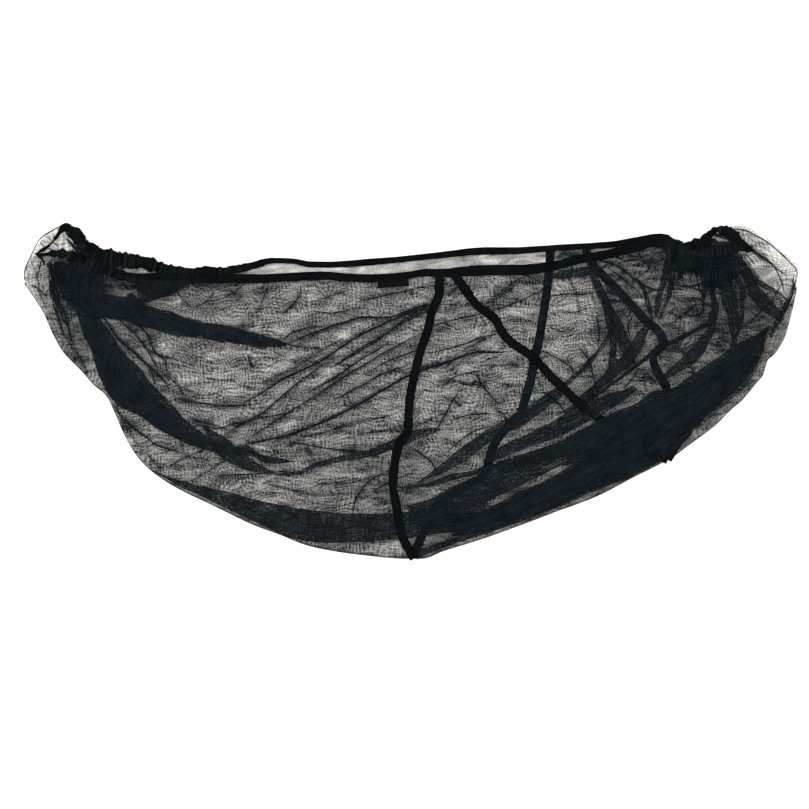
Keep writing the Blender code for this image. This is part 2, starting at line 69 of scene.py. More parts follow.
# x, y of the folded edge, and y of the net's edge inside the front and the back of the mouth binding.
SECTION_COLUMNS = ("x", "fold", "front", "back")
SECTIONS = (
    (-500, 141, 158, 159),
    (-494, 133, 170, 172),
    (-486, 121, 176, 186),
    (-475, 103, 179, 202),
    (-465, 80, 180, 210),
    (-450, 53, 180, 217),
    (-437, 39, 176, 215),
    (-425, 27, 172, 197),
    (-410, 10, 167, 184),
    (-393, -5, 160, 177),
    (-380, -32, 155, 176),
    (-370, -55, 151, 175),
    (-355, -81, 148, 174),
    (-335, -102.5, 146, 167),
    (-305, -123, 146, 158),
    (-250, -150, 148.5, 157),
    (-200, -174, 148, 163),
    (-165, -187, 150, 171),
    (-135, -199, 151, 168),
    (-112, -205, 152.5, 167),
    (-60, -213, 149, 169),
    (0, -218, 153, 174.5),
    (20, -218, 156, 177),
    (50, -207.5, 155.5, 180),
    (100, -192, 159, 184.5),
    (150, -174, 160, 185.5),
    (200, -155, 166, 189),
    (225, -146, 173.5, 191),
    (250, -136, 177, 193.5),
    (300, -110, 188, 199),
    (330, -95, 195, 203),
    (350, -84, 189, 196),
    (365, -73, 184, 190),
    (380, -62, 182, 191),
    (395, -51, 182, 196),
    (405, -43, 184, 206),
    (425, -23, 184, 212),
    (440, -10, 178, 211),
    (450, 2, 166, 208),
    (460, 14, 151, 203),
    (466, 21, 145, 199),
    (470, 32, 141, 196.5),
    (473, 42, 138, 194.5),
    (480, 48, 132, 189.5),
    (487, 57, 124, 183),
    (493, 67, 119, 177.5),
    (498, 79, 114, 172.5),
    (503, 100, 116, 167.5),
    (507, 120, 126, 163),
    (510, 137, 138, 159),
)

# The two seams on each side, from the fold to the mouth: x and y.
SEAMS = {
    "foot_front": ((10, -219), (5, -210), (-3, -195), (-10, -172), (-14, -145), (-18, -125), (-16, -100),
                   (-13, -80), (-9, -68), (2, -50), (3, -25), (5, -5), (8, 10), (11, 25), (15, 40), (19, 55),
                   (25, 72), (29, 85), (32, 100), (38, 115), (43, 130), (43, 155)),
    "foot_back": ((10, -219), (14, -205), (20, -190), (30, -172), (35, -156), (43, -146), (60, -135),
                  (84, -122), (101, -110), (107, -96), (110, -82), (117, -66), (131, -48), (150, -28),
                  (154, -15), (160, 5), (165, 25), (168, 45), (172, 60), (175, 75), (179, 100), (183, 125),
                  (186, 150), (189, 188)),
    "head_front": ((342, -89), (322, -80), (297, -63), (270, -46), (243, -29), (225, -15), (210, 0),
                   (195, 14), (180, 30), (165, 46), (150, 56), (135, 67), (124, 80), (117, 94), (107, 103),
                   (96, 110), (85, 122), (74, 138), (60, 156)),
    "head_back": ((342, -89), (356, -66), (369, -50), (364, -38), (352, -27), (346, -14), (342, 2), (333, 20),
                  (325, 35), (323, 48), (331, 56), (337, 64), (334, 74), (327, 83), (315, 93), (300, 109),
                  (280, 131), (262, 149), (246, 166), (237, 180), (235, 193)),
}

# The binding round the mouth, from the back of the head end to the foot end and back along the front:
# x, y, height of its middle, width, and how strongly elastic gathers it.
BINDING = (
    (341, 200.5, 6, 10, 0.3),
    (330, 203, 5, 9, 0.15),
    (300, 198.5, 3.5, 8.5, 0.05),
    (267, 193, 2.6, 8.5, 0),
    (200, 189, 2.4, 8, 0),
    (150, 185.5, 2.4, 9, 0),
    (100, 184.5, 2.4, 10, 0),
    (50, 180, 2.4, 8.5, 0),
    (0, 174.5, 2.4, 8, 0),
    (-50, 170, 2.4, 9, 0),
    (-100, 167, 2.4, 8, 0),
    (-125, 167, 2.4, 8, 0),
    (-150, 171.5, 2.4, 7, 0),
    (-175, 172, 2.4, 7.5, 0.1),
    (-200, 166, 2.8, 9.5, 0.4),
    (-225, 160.5, 3.5, 9.5, 0.7),
    (-250, 157.5, 4.5, 12, 0.8),
    (-280, 156.5, 5.5, 12, 0.9),
    (-290, 156, 5.7, 12, 1),
    (-305, 158, 6, 14, 1),
    (-325, 163.5, 6.5, 15, 1),
    (-345, 170, 7, 18, 1),
    (-358, 170.5, 7.2, 21, 1),
    (-372, 172, 7.5, 23, 1),
    (-390, 174.5, 8, 24, 1),
    (-406, 179, 8.5, 24, 1),
    (-417, 187, 9, 21, 1),
    (-425, 196, 9.5, 19, 1),
    (-431, 206, 10.5, 17, 1),
    (-438, 213, 12, 14, 1),
    (-443, 216.5, 14, 10, 1),
    (-449, 211, 15, 7, 1),
    (-455, 203, 15, 4, 0.8),
    (-463, 194, 14.5, 3.2, 0.5),
    (-472, 186, 13.5, 3.2, 0.5),
    (-480, 180.5, 12.5, 3.6, 0.5),
    (-480, 178, 12, 3, 0.5),
    (-472, 179, 11.5, 3.6, 0.6),
    (-462, 180.5, 11, 6.5, 0.9),
    (-448, 180.5, 10.5, 10, 1),
    (-436, 177, 10.2, 13, 1),
    (-424, 171.5, 10, 17, 1),
    (-408, 165, 10, 17, 1),
    (-390, 159, 9.5, 15, 0.9),
    (-370, 152, 9, 13, 0.8),
    (-350, 147.5, 8, 13, 0.7),
    (-325, 149, 7.5, 13, 0.6),
    (-300, 148, 7, 14, 0.4),
    (-275, 148, 6.4, 14, 0.2),
    (-250, 148.5, 6, 13, 0),
    (-200, 148, 6, 12, 0),
    (-150, 150.5, 6, 11, 0),
    (-112, 152, 6, 11, 0),
    (-75, 149.5, 6, 11, 0),
    (-50, 148.5, 6, 11, 0),
    (0, 152.5, 6, 9, 0),
    (25, 156, 6, 10, 0),
    (50, 155.5, 6, 11, 0),
    (75, 157.5, 6, 13, 0),
    (100, 159, 6, 14, 0),
    (150, 159.5, 6, 14, 0),
    (175, 162, 6, 13, 0),
    (200, 166.5, 6, 12, 0),
    (225, 173.5, 6.2, 12, 0),
    (250, 177.5, 6.4, 12, 0),
    (297, 188, 7, 12, 0.1),
    (325, 196, 8, 13, 0.3),
    (345, 192, 10, 15, 0.8),
    (362, 184, 11, 18, 1),
    (385, 181, 12, 18, 1),
    (410, 183, 12.5, 16, 1),
    (430, 187, 13, 13, 1),
    (443, 187, 13.5, 8, 0.8),
    (452, 184, 14, 4, 0.6),
    (443, 190, 15, 6, 0.8),
    (435, 196, 15.5, 9, 1),
    (428, 203, 15.5, 11, 1),
    (418, 208.5, 15, 11, 1),
    (404, 210.5, 14, 9, 1),
    (397, 206, 12, 10, 1),
    (387, 195, 10, 15, 1),
    (370, 190.5, 8.5, 12, 1),
    (355, 192.5, 7.5, 11, 0.8),
)

# Folds of the upper layer laid flat: how many folds lie on each other, then the two edges.
BANDS = (
    # the bundle drawn from the foot gathers down to the folded edge
    (1,
     ((-470, 168), (-462, 150), (-440, 125), (-430, 100), (-422, 75), (-412, 55), (-403, 25), (-395, 5),
      (-385, -10), (-370, -22), (-350, -30), (-325, -48), (-300, -62), (-275, -72), (-250, -78),
      (-225, -81), (-205, -84), (-180, -93), (-150, -92)),
     ((-425, 168), (-420, 145), (-412, 120), (-402, 100), (-385, 75), (-370, 50), (-350, 30), (-337, 15),
      (-322, 0), (-310, -12), (-300, -25), (-288, -38), (-275, -48), (-260, -58), (-245, -66),
      (-230, -70), (-215, -73), (-195, -81), (-150, -89))),
    (1,
     ((-455, 165), (-446, 140), (-433, 110), (-424, 80), (-410, 50), (-400, 22), (-392, 4), (-380, -12),
      (-362, -24), (-335, -38), (-310, -54), (-285, -66), (-262, -72)),
     ((-415, 160), (-418, 130), (-412, 105), (-398, 82), (-380, 55), (-360, 32), (-345, 12), (-330, -4),
      (-315, -20), (-302, -36), (-288, -48), (-272, -60), (-258, -68))),
    # the pleat below the front of the mouth
    (2,
     ((-360, 128), (-345, 115), (-325, 106), (-300, 100), (-275, 93), (-250, 88), (-225, 83), (-200, 77),
      (-180, 70), (-158, 63)),
     ((-405, 100), (-375, 95), (-350, 88), (-325, 82), (-300, 76), (-275, 72), (-250, 68), (-225, 64),
      (-200, 61), (-158, 60))),
    # the hem-like band above the folded edge
    (1,
     ((-332, -101), (-300, -114), (-275, -120), (-250, -127), (-225, -132), (-200, -140), (-175, -146),
      (-150, -150), (-100, -157), (-60, -160), (0, -158), (75, -158), (110, -157)),
     ((-332, -104), (-305, -119), (-275, -133), (-250, -146), (-225, -158), (-200, -169), (-175, -181),
      (-150, -190), (-100, -197), (-60, -195), (0, -190), (75, -180), (110, -170))),
    # the slack laid over at the head end
    (1,
     ((0, -150), (30, -140), (60, -125), (90, -110), (125, -90), (150, -83), (200, -65), (225, -50),
      (250, -38), (275, -25), (300, -15), (320, 0), (345, 5), (370, 20), (400, 40), (430, 62),
      (455, 74), (470, 85)),
     ((4, -157), (38, -154), (66, -152), (95, -148), (125, -133), (150, -121), (175, -110), (205, -96),
      (235, -92), (275, -85), (330, -62), (365, -38), (395, -14), (422, 6), (442, 26), (458, 46),
      (468, 64), (472, 83))),
    (1,
     ((60, -166), (83, -161), (125, -142), (150, -130), (175, -119), (205, -103), (225, -90), (250, -70),
      (300, -45), (350, -20), (400, 15), (430, 40), (466, 74)),
     ((60, -188), (100, -184), (150, -166), (200, -147), (250, -127), (300, -105), (330, -91), (345, -82),
      (360, -64), (380, -44), (400, -24), (430, 3), (452, 26), (468, 58))),
    (1,
     ((140, -84), (200, -66), (250, -42), (300, -20), (345, 0), (372, 14), (402, 34), (428, 54),
      (446, 66)),
     ((140, -98), (200, -86), (250, -74), (300, -62), (345, -48), (372, -30), (402, -4), (424, 22),
      (440, 44))),
    (1,
     ((14, -206), (35, -198), (62, -190), (78, -182), (100, -170), (150, -150), (200, -128), (250, -106),
      (300, -86), (340, -70)),
     ((14, -216), (35, -209), (62, -199), (100, -187), (150, -169), (200, -150), (250, -129), (290, -112),
      (345, -84))),
    (1,
     ((20, -178), (60, -170), (100, -157), (150, -133), (200, -108), (250, -84), (300, -62), (345, -38),
      (390, 0), (420, 30), (440, 50)),
     ((20, -186), (60, -182), (100, -172), (150, -154), (200, -134), (250, -113), (300, -89), (345, -68),
      (390, -34), (420, -6), (440, 18))),
    (1,
     ((8, -157), (38, -148), (66, -144), (92, -148), (104, -146)),
     ((12, -176), (40, -172), (70, -168), (92, -158), (106, -150))),
    # the dark laps below the foot gathers
    (1,
     ((-460, 170), (-430, 170), (-410, 162), (-395, 153)),
     ((-456, 140), (-438, 112), (-412, 98), (-397, 97))),
    (1,
     ((-404, 142), (-380, 140), (-360, 140), (-330, 144), (-280, 146)),
     ((-404, 136), (-380, 138), (-355, 134), (-328, 121), (-284, 137))),
    (1,
     ((-352, 136), (-335, 141), (-310, 144), (-285, 145)),
     ((-350, 119), (-335, 120), (-312, 127), (-288, 138))),
    (1,
     ((-408, 130), (-390, 128), (-375, 125), (-355, 122), (-335, 121), (-318, 125)),
     ((-404, 98), (-390, 97), (-375, 96), (-358, 100), (-342, 114), (-322, 122))),
    # and below the head gathers
    (2,
     ((348, 196), (365, 190), (380, 186), (395, 184)),
     ((352, 166), (365, 163), (380, 161), (396, 160))),
    (1,
     ((345, 190), (370, 184), (400, 182), (420, 180), (433, 176)),
     ((350, 166), (370, 160), (398, 150), (420, 146), (440, 156))),
)

# Narrower folds along a middle line: folds on each other, then x, y and width at each point.
FOLDS = (
    (1, ((14, -119, 2), (30, -111, 6), (60, -91, 13), (100, -62, 17), (150, -30, 12), (200, 3, 9),
         (230, 30, 5), (252, 57, 1.5))),
    (1, ((-12, -125, 2), (25, -121, 6), (60, -112, 8), (100, -101, 6), (130, -90, 2))),
    (1, ((-168, -108, 2), (-140, -105, 5), (-120, -97, 7), (-90, -88, 8), (-45, -80, 10), (-20, -70, 13),
         (10, -57, 14), (36, -50, 7), (45, -48, 2))),
    (1, ((240, 172, 10), (246, 150, 12), (262, 110, 11), (268, 85, 11), (270, 60, 9), (267, 35, 8),
         (261, 10, 2))),
    (1, ((258, 125, 5), (268, 105, 11), (276, 85, 15), (284, 65, 16), (292, 48, 12), (300, 36, 4))),
    (1, ((318, 88, 5), (310, 78, 12), (300, 58, 15), (287, 40, 16), (268, 24, 15), (248, 5, 12),
         (228, -12, 9), (205, -28, 4))),
    (2, ((396, 160, 5), (400, 130, 6), (404, 108, 9), (399, 93, 11), (386, 85, 6), (366, 75, 6),
         (350, 66, 6), (330, 56, 6), (300, 35, 5), (265, 8, 4), (235, -15, 2))),
    (1, ((403, 92, 5), (396, 78, 12), (385, 60, 16), (370, 44, 16), (352, 30, 12), (336, 18, 5))),
    (1, ((406, 160, 12), (415, 140, 18), (424, 115, 18), (428, 92, 15), (429, 75, 11), (424, 58, 4))),
    (1, ((346, 200, 10), (342, 170, 10), (336, 142, 9), (329, 118, 8), (326, 98, 4))),
    (1, ((354, 190, 18), (357, 165, 12), (358, 148, 6))),
    (1, ((392, 170, 15), (390, 140, 9), (386, 118, 4))),
    (1, ((432, 178, 3), (443, 162, 7), (454, 148, 8), (468, 138, 7), (482, 130, 5), (497, 119, 2))),
    (1, ((440, 160, 14), (452, 135, 16), (470, 112, 18), (484, 100, 14), (490, 92, 6))),
    (1, ((505, 150, 2), (502, 130, 5), (494, 112, 7), (484, 92, 7), (474, 72, 4))),
    (1, ((225, 22, 2), (244, 44, 6), (258, 62, 6), (268, 84, 3))),
    (1, ((345, 170, 5), (346, 145, 7), (340, 118, 6), (331, 96, 4))),
    (1, ((426, 158, 6), (438, 128, 7), (438, 100, 6), (432, 74, 3))),
    (1, ((380, 8, 3), (415, 33, 7), (448, 60, 8), (474, 86, 5))),
    (1, ((300, 150, 3), (312, 128, 6), (318, 108, 6), (322, 92, 3))),
    (1, ((-466, 171, 2), (-461, 150, 5), (-460, 120, 5), (-454, 95, 4), (-449, 76, 3), (-438, 66, 1))),
    (1, ((-455, 170, 5), (-458, 140, 7), (-452, 110, 7), (-442, 84, 4), (-438, 66, 2))),
    (1, ((-300, 137, 3), (-312, 130, 6), (-335, 120, 6), (-350, 118, 3))),
    (1, ((-230, -74, 4), (-209, -72, 6), (-198, -80, 5), (-180, -89, 2))),
    (1, ((100, -92, 4), (125, -79, 14), (160, -63, 19), (196, -48, 21), (232, -28, 24), (266, -12, 18),
         (300, 4, 6))),
    (1, ((120, -54, 4), (150, -36, 13), (172, -22, 11), (205, -2, 4))),
    (1, ((186, 150, 3), (204, 153, 11), (225, 156, 14), (245, 160, 9), (262, 164, 3))),
    (1, ((-266, -44, 4), (-250, -62, 18), (-235, -76, 25), (-215, -90, 20), (-195, -99, 12),
         (-172, -106, 3))),
)

# Net drawn into thick strands beside the elastic: x, y and width at each point.
STRANDS = (
    ((400, 205, 4), (416, 203, 8), (432, 192, 8), (446, 187, 4)),
    ((408, 213, 4), (420, 206, 8), (431, 198, 6), (441, 190, 3)),
    ((396, 196, 7), (412, 192, 9), (428, 190, 9), (440, 187, 5)),
    ((440, 193, 2), (452, 186, 2.4), (464, 177, 2), (480, 165, 1)),
    ((-447, 214, 4), (-438, 206, 9), (-428, 196, 9), (-418, 186, 6)),
    ((-444, 200, 2), (-436, 192, 4), (-428, 184, 6), (-416, 178, 5)),
    ((-484, 181, 2), (-479, 177, 5), (-474, 172, 3), (-472, 165, 2)),
)

# Creases: extra plies, width, and points. Each tapers to nothing at both ends.
CREASES = (
    (2, 2.0, ((-166, 64), (-146, 79), (-122, 85), (-100, 88))),
    (2, 3.0, ((-168, 60), (-148, 66), (-130, 74), (-87, 89), (-53, 98), (-27, 97), (0, 105), (38, 118))),
    (2, 3.2, ((-218, -17), (-195, -5), (-160, 18), (-120, 36), (-100, 48), (-60, 75), (-20, 93), (38, 121))),
    (2, 2.4, ((-240, -57), (-215, -42), (-190, -28), (-165, -8), (-145, 10), (-108, 36))),
    (2, 2.2, ((-100, 31), (-50, 60), (-5, 90), (24, 102))),
    (2, 2.4, ((-209, -63), (-158, -29), (-128, -10), (-87, 16), (-38, 46), (3, 68), (29, 81))),
    (2, 4.4, ((-222, -69), (-199, -66), (-147, -54), (-102, -36), (-72, -21), (-27, 5), (3, 21), (50, 38),
              (100, 52), (142, 52))),
    (2, 2.0, ((-98, 33), (-57, 59), (-19, 81), (3, 98), (29, 113))),
    (2, 2.0, ((-162, 62), (-136, 59), (-110, 55))),
    (2, 2.4, ((-234, -44), (-190, -34), (-152, -27))),
    (2, 3.0, ((-305, -8), (-274, -14), (-241, -18), (-203, -17))),
    (1, 3.0, ((-302, -33), (-265, -40), (-232, -49))),
    (2, 2.2, ((-242, 121), (-225, 131), (-212, 141))),
    (1, 3.0, ((-196, 104), (-188, 120), (-182, 138))),
    (2, 2.0, ((-122, 106), (-100, 103), (-75, 107), (-48, 111))),
    (1, 3.0, ((-122, 119), (-100, 125), (-78, 133))),
    (2, 2.0, ((-67, 117), (-30, 126), (0, 132), (37, 141))),
    (2, 2.4, ((-208, 50), (-205, 41), (-199, 30))),
    (2, 3.0, ((-400, 103), (-378, 72), (-355, 50), (-330, 27), (-308, 6))),
    (2, 3.0, ((-380, 98), (-362, 82), (-345, 65), (-335, 48), (-322, 26))),
    (2, 2.6, ((-358, 94), (-338, 75), (-328, 52), (-316, 40), (-314, 22))),
    (2, 2.4, ((-336, 32), (-331, 22), (-329, 8))),
    (1, 3.4, ((-345, 60), (-322, 48), (-300, 42))),
    (1, 3.0, ((-322, 28), (-300, 10), (-290, -6))),
    (2, 2.4, ((-372, -34), (-350, -52), (-325, -70), (-283, -83))),
    (1, 3.0, ((-312, -99), (-290, -86), (-260, -74))),
    (1, 3.0, ((-280, -116), (-250, -98), (-218, -81))),
    (1, 3.0, ((-342, -77), (-332, -90), (-318, -102))),
    (2, 2.2, ((-248, -109), (-215, -108), (-185, -106), (-148, -102))),
    (2, 2.4, ((-162, -73), (-145, -67), (-125, -70), (-105, -74), (-58, -77))),
    (1, 3.4, ((-132, -71), (-124, -84), (-117, -96))),
    (2, 2.4, ((-72, -162), (-66, -140), (-50, -118), (-26, -102))),
    (2, 2.4, ((8, -73), (25, -85), (36, -97), (43, -110))),
    (2, 2.0, ((33, 86), (62, 94), (97, 103))),
    (1, 3.0, ((43, 124), (60, 132), (77, 143))),
    (2, 2.0, ((28, 49), (75, 63), (98, 71), (122, 78))),
    (1, 3.0, ((73, 54), (90, 62), (107, 71))),
    (1, 8.0, ((102, 114), (128, 132), (152, 149))),
    (2, 2.2, ((108, 104), (150, 120), (177, 133))),
    (1, 3.4, ((98, 35), (130, 35), (162, 31))),
    (1, 3.0, ((123, 11), (140, 8), (152, 8))),
    (2, 2.2, ((88, 27), (98, 12), (108, -2), (122, -17))),
    (2, 2.4, ((38, -52), (50, -30), (58, -15), (69, 2))),
    (1, 3.0, ((8, -46), (30, -37), (57, -24))),
    (2, 2.4, ((173, 56), (200, 43), (222, 26))),
    (2, 2.0, ((183, 86), (200, 80), (217, 77))),
    (2, 3.4, ((248, 172), (275, 165), (292, 152), (310, 140), (332, 131))),
    (2, 2.6, ((260, 166), (280, 150), (299, 134))),
    (2, 2.6, ((443, 192), (460, 177), (475, 166), (497, 151))),
    (2, 3.4, ((509, 152), (504, 130), (495, 112), (484, 93))),
    (2, 2.4, ((428, 176), (442, 160), (457, 138))),
    (2, 2.4, ((438, 84), (460, 103), (480, 125), (490, 145))),
    (2, 2.0, ((456, 186), (470, 172), (486, 150), (492, 128))),
    (1, 3.0, ((425, 70), (445, 88), (470, 100))),
    (2, 2.4, ((340, 150), (352, 140), (370, 138), (392, 146))),
    (1, 4.0, ((345, 128), (362, 118), (380, 122), (398, 112))),
    (1, 3.4, ((340, 108), (356, 98), (372, 100))),
    (2, 2.2, ((300, 18), (315, 20), (326, 12))),
    (2, 2.4, ((283, 4), (296, 20), (302, 32))),
    (1, 3.0, ((262, 2), (268, -12), (273, -26))),
    (2, 2.4, ((225, 60), (236, 44), (244, 22), (247, 6))),
    (1, 3.0, ((208, 44), (216, 30), (219, 16))),
    (2, 2.4, ((-492, 140), (-483, 136), (-474, 128), (-468, 122))),
    (1, 2.4, ((-490, 170), (-482, 152), (-478, 130), (-470, 108))),
    (1, 2.4, ((-470, 205), (-462, 196), (-452, 188))),
    (2, 2.0, ((-478, 194), (-470, 188), (-458, 184))),
    (2, 2.2, ((-475, 172), (-478, 160), (-480, 148))),
    (2, 2.2, ((-434, 220), (-450, 216.5), (-465, 209), (-478, 199), (-490, 178), (-498, 160), (-500, 146))),
    (2, 2.2, ((415, 214), (440, 211), (460, 202), (478, 190), (490, 179), (500, 169), (509, 158),
              (510, 146))),
    (2, 2.4, ((-463, 168), (-460, 150), (-462, 130))),
    (1, 3.0, ((-450, 120), (-444, 100), (-440, 88))),
    (1, 3.0, ((-446, 70), (-430, 50), (-415, 20))),
    (1, 3.0, ((-384, -14), (-368, -42), (-350, -72))),
    (1, 3.0, ((-380, -22), (-350, -52), (-330, -62))),
    (2, 2.0, ((-165, 100), (-150, 112), (-140, 128), (-138, 140))),
    (1, 3.0, ((-280, 110), (-262, 118), (-250, 134))),
    (2, 2.0, ((-298, 128), (-290, 118), (-282, 112))),
    (1, 4.0, ((-190, 12), (-150, 30), (-110, 55), (-80, 72))),
    (1, 3.6, ((-150, -62), (-100, -50), (-55, -38), (-15, -30))),
    (1, 3.6, ((-120, -120), (-80, -118), (-40, -112))),
    (1, 3.6, ((-190, -118), (-150, -128), (-110, -135), (-80, -132))),
    (2, 2.0, ((-95, -10), (-60, 8), (-30, 24), (5, 36))),
    (2, 2.2, ((-130, -2), (-95, 18), (-60, 42), (-20, 66))),
    (1, 3.4, ((50, 20), (70, 12), (92, 10), (108, 16))),
    (2, 2.0, ((45, 5), (65, 20), (92, 28))),
    (1, 3.4, ((115, -20), (128, -32), (136, -46))),
    (2, 2.0, ((178, 2), (196, -12), (210, -30))),
    (1, 3.0, ((196, 108), (215, 104), (240, 110))),
    (2, 2.0, ((192, 125), (212, 128), (240, 126))),
    (2, 2.8, ((352, 160), (370, 157), (392, 149))),
    (2, 2.4, ((372, 137), (388, 127), (388, 108), (374, 97))),
    (2, 2.4, ((440, 132), (455, 121), (474, 124))),
    (1, 4.0, ((352, -66), (395, -33), (438, 6), (466, 44))),
    (2, 2.0, ((345, -60), (390, -26), (430, 10), (462, 52))),
    (2, 2.4, ((350, 92), (366, 104), (380, 118))),
    (1, 4.0, ((345, 60), (362, 52), (372, 34), (376, 18))),
    (2, 2.4, ((296, 100), (290, 86), (292, 70))),
    (2, 2.4, ((248, 100), (252, 76), (250, 58))),
    (1, 4.0, ((210, 150), (222, 128), (226, 100))),
    (2, 2.4, ((322, 178), (316, 160), (300, 148))),
    (1, 5.0, ((280, 186), (296, 176), (330, 168))),
    (2, 2.4, ((268, 178), (290, 172), (312, 176))),
    (2, 2.2, ((-60, 20), (-20, 42), (25, 58))),
    (1, 4.0, ((-85, -62), (-40, -52), (5, -48))),
    (2, 2.0, ((52, -80), (72, -62), (95, -48), (112, -44))),
    (2, 2.2, ((60, -36), (85, -30), (110, -28))),
    (2, 2.2, ((-45, -130), (-10, -112), (12, -104))),
)

# Pleats that fan out from the elastic: how many, plies, width, and where they start and end.
GATHERS = (
    (12, 2, 2.4, ((-463, 174), (-450, 173), (-425, 170), (-400, 158)),
     ((-466, 116), (-454, 92), (-438, 84), (-400, 100))),
    (2, 1, 1.2, ((-480, 178), (-472, 178)), ((-484, 154), (-474, 140))),
    (10, 1, 2.6, ((-398, 160), (-360, 150), (-300, 142)), ((-384, 120), (-345, 126), (-290, 126))),
    (14, 2, 2.8, ((345, 186), (380, 172), (410, 174), (428, 178)),
     ((334, 148), (372, 132), (404, 116), (438, 136))),
    (4, 1, 1.5, ((440, 190), (444, 200), (434, 208)), ((499, 146), (494, 166), (470, 188))),
    (3, 1, 2.0, ((438, 182), (446, 184), (450, 186)), ((462, 156), (474, 160), (486, 152))),
)

# Smooth drift of the net's threads where the cloth has slid: the size and wavelength of each wave, the way
# it runs, its phase, and the way it pushes the threads. Ways are in degrees.
DRIFTS = {
    "front": (
        (5.5, 230, 25, 0.4, 115),
        (3.6, 145, 100, 2.1, 10),
        (2.0, 88, 60, 4.0, 150),
        (1.0, 52, 140, 1.0, 50),
    ),
    "back": (
        (3.5, 260, 80, 1.3, 170),
        (2.0, 120, 10, 3.0, 100),
        (1.0, 70, 120, 5.2, 30),
    ),
}
TREMBLE = 0.3  # size of the small waves in the threads that are 30 mm long
CALM_PATCH = (-250, 25, 75, 45, 0.75)  # x, y, radii and how far the small waves fade out there
# The net laid in each kind of fold: how crowded its threads are, how far they are turned, in degrees, and
# turned on with each layer, and how far the cloth has slid from one such fold to the next.
Laid = namedtuple("Laid", "crowd turn layer_turn slide")
LAID = {
    "band": Laid(1.35, 6, 9, 3.1),
    "fold": Laid(1.4, 8, 11, 1.7),
    "strand": Laid(2.4, 3, 0, 0.9),
    "sharp_crease": Laid(1.8, 5, 0, 2.3),
    "soft_crease": Laid(1.2, 5, 0, 2.3),
    "beside_crease": Laid(0.8, 5, 0, 1.3),
}
DRAWN_IN = 2.3  # the net's cells are this much narrower across a fold than along it
SOFT_FROM, SOFT_WIDTH = 55, 5.0  # creases with more rows than this have a soft ply of this width beside them
CREASE_SHADE = 0.2  # crowding of the cloth beside a crease, for each of its plies
STREAKS = {"front": 0.24, "back": 0.1}  # how far crowding varies from streak to streak
# How each layer's threads are turned, in degrees, and drawn out along and across.
WEAVE = {"front": (8.0, 1.0, 1.08), "back": (-7.0, 1.03, 1.0)}

# Soft patches where threads are crowded (above 0) or drawn apart (below 0): x, y, radii, amount.
CROWDING = {
    "front": (
        (-486, 145, 20, 36, -0.55), (-430, 55, 18, 60, 0.5), (-425, 150, 34, 34, 0.7),
        (-375, 160, 50, 12, 0.5), (-300, 148, 60, 10, 0.3), (-377, 133, 26, 14, 0.9),
        (155, -128, 50, 14, 0.3), (54, -196, 30, 12, 0.65), (370, 175, 45, 25, 0.8),
        (408, 165, 26, 20, 0.6), (385, 105, 60, 60, 0.4), (445, 80, 30, 50, 0.2), (330, 60, 90, 90, 0.3),
        (474, 151, 24, 18, 0.6), (-183, -31, 16, 12, -0.3), (-145, -73, 26, 10, 0.8),
        (3, -83, 14, 14, 0.35), (-32, -141, 16, 16, 0.8), (3, -131, 16, 18, 0.7),
        (-204, 136, 24, 14, 0.8), (412, 64, 16, 18, 0.7), (80, 66, 22, 16, -0.3),
        (-115, 14, 40, 14, -0.3), (-70, 40, 30, 12, -0.25), (-30, 108, 28, 12, -0.25),
        (-110, 118, 28, 12, -0.25), (75, -50, 40, 24, -0.3), (-356, -76, 18, 16, -0.3),
        (278, 118, 22, 34, 0.5), (273, 168, 20, 14, 0.5), (320, 180, 18, 14, 0.6),
        (-256, 135, 26, 12, 0.5), (-44, -92, 20, 12, 0.5), (164, 142, 20, 14, 0.5),
        (325, 10, 18, 12, 0.5), (90, -50, 60, 40, 0.15), (100, -130, 140, 40, 0.2),
        (-60, 50, 90, 40, -0.1), (-180, 20, 50, 30, -0.08), (-250, 20, 60, 45, -0.08),
        (-150, -60, 60, 30, -0.12), (104, -17, 22, 14, -0.3), (-48, -26, 24, 12, -0.2),
        (199, 37, 18, 16, -0.25), (-314, -4, 14, 14, 0.5), (463, 90, 14, 14, 0.6), (415, 63, 12, 12, 0.4),
        (-1, -83, 12, 12, 0.4), (347, 47, 12, 12, 0.4), (7, 72, 10, 8, 0.4), (234, 151, 14, 10, 0.5),
        (57, 131, 14, 10, 0.4), (221, 122, 14, 12, -0.2), (-102, 37, 12, 8, 0.35),
        (-162, 54, 16, 8, 0.35), (-226, -62, 12, 8, 0.5), (77, 108, 18, 14, 0.3),
        (-289, -94, 18, 10, 0.35), (-362, 68, 16, 14, 0.5), (-471, 159, 10, 16, -0.4),
        (215, 105, 26, 45, -0.4), (-10, 20, 60, 50, -0.1), (484, 128, 16, 18, -0.4),
        (-300, 60, 70, 40, 0.06),
    ),
    "back": (
        (-484, 150, 22, 50, -0.5), (-465, 203, 25, 20, -0.3), (490, 178, 26, 26, -0.5),
        (474, 150, 20, 16, 0.4), (205, 180, 30, 7, 1.2), (176, 173, 8, 8, 0.6), (80, 66, 22, 16, -0.2),
        (278, 118, 22, 34, 0.3), (-420, 150, 60, 30, 0.5), (385, 180, 45, 22, 0.7),
        (0, -205, 120, 14, -0.15), (-90, 160, 60, 8, -0.2), (120, 174, 60, 8, 0.15),
    ),
}
PULLED_FLAT = 0.85  # how far the crinkles are pulled out between the two rims
MOUTH_OPENNESS = -0.02  # crowding of the single layer seen between the two rims

UNDER_SLACK = -24.0  # below this y the head seam's tape runs under the laid-over slack

LABEL_PLACE = (-17.5, 142.0, 4.2)  # x, y and turn in degrees

# The binding's ruffles: how far they reach sideways, how high they rise, and how the rise lags behind.
RUFFLE_REACH, RUFFLE_RISE, RUFFLE_LAG = 0.45, 1.4, 0.6

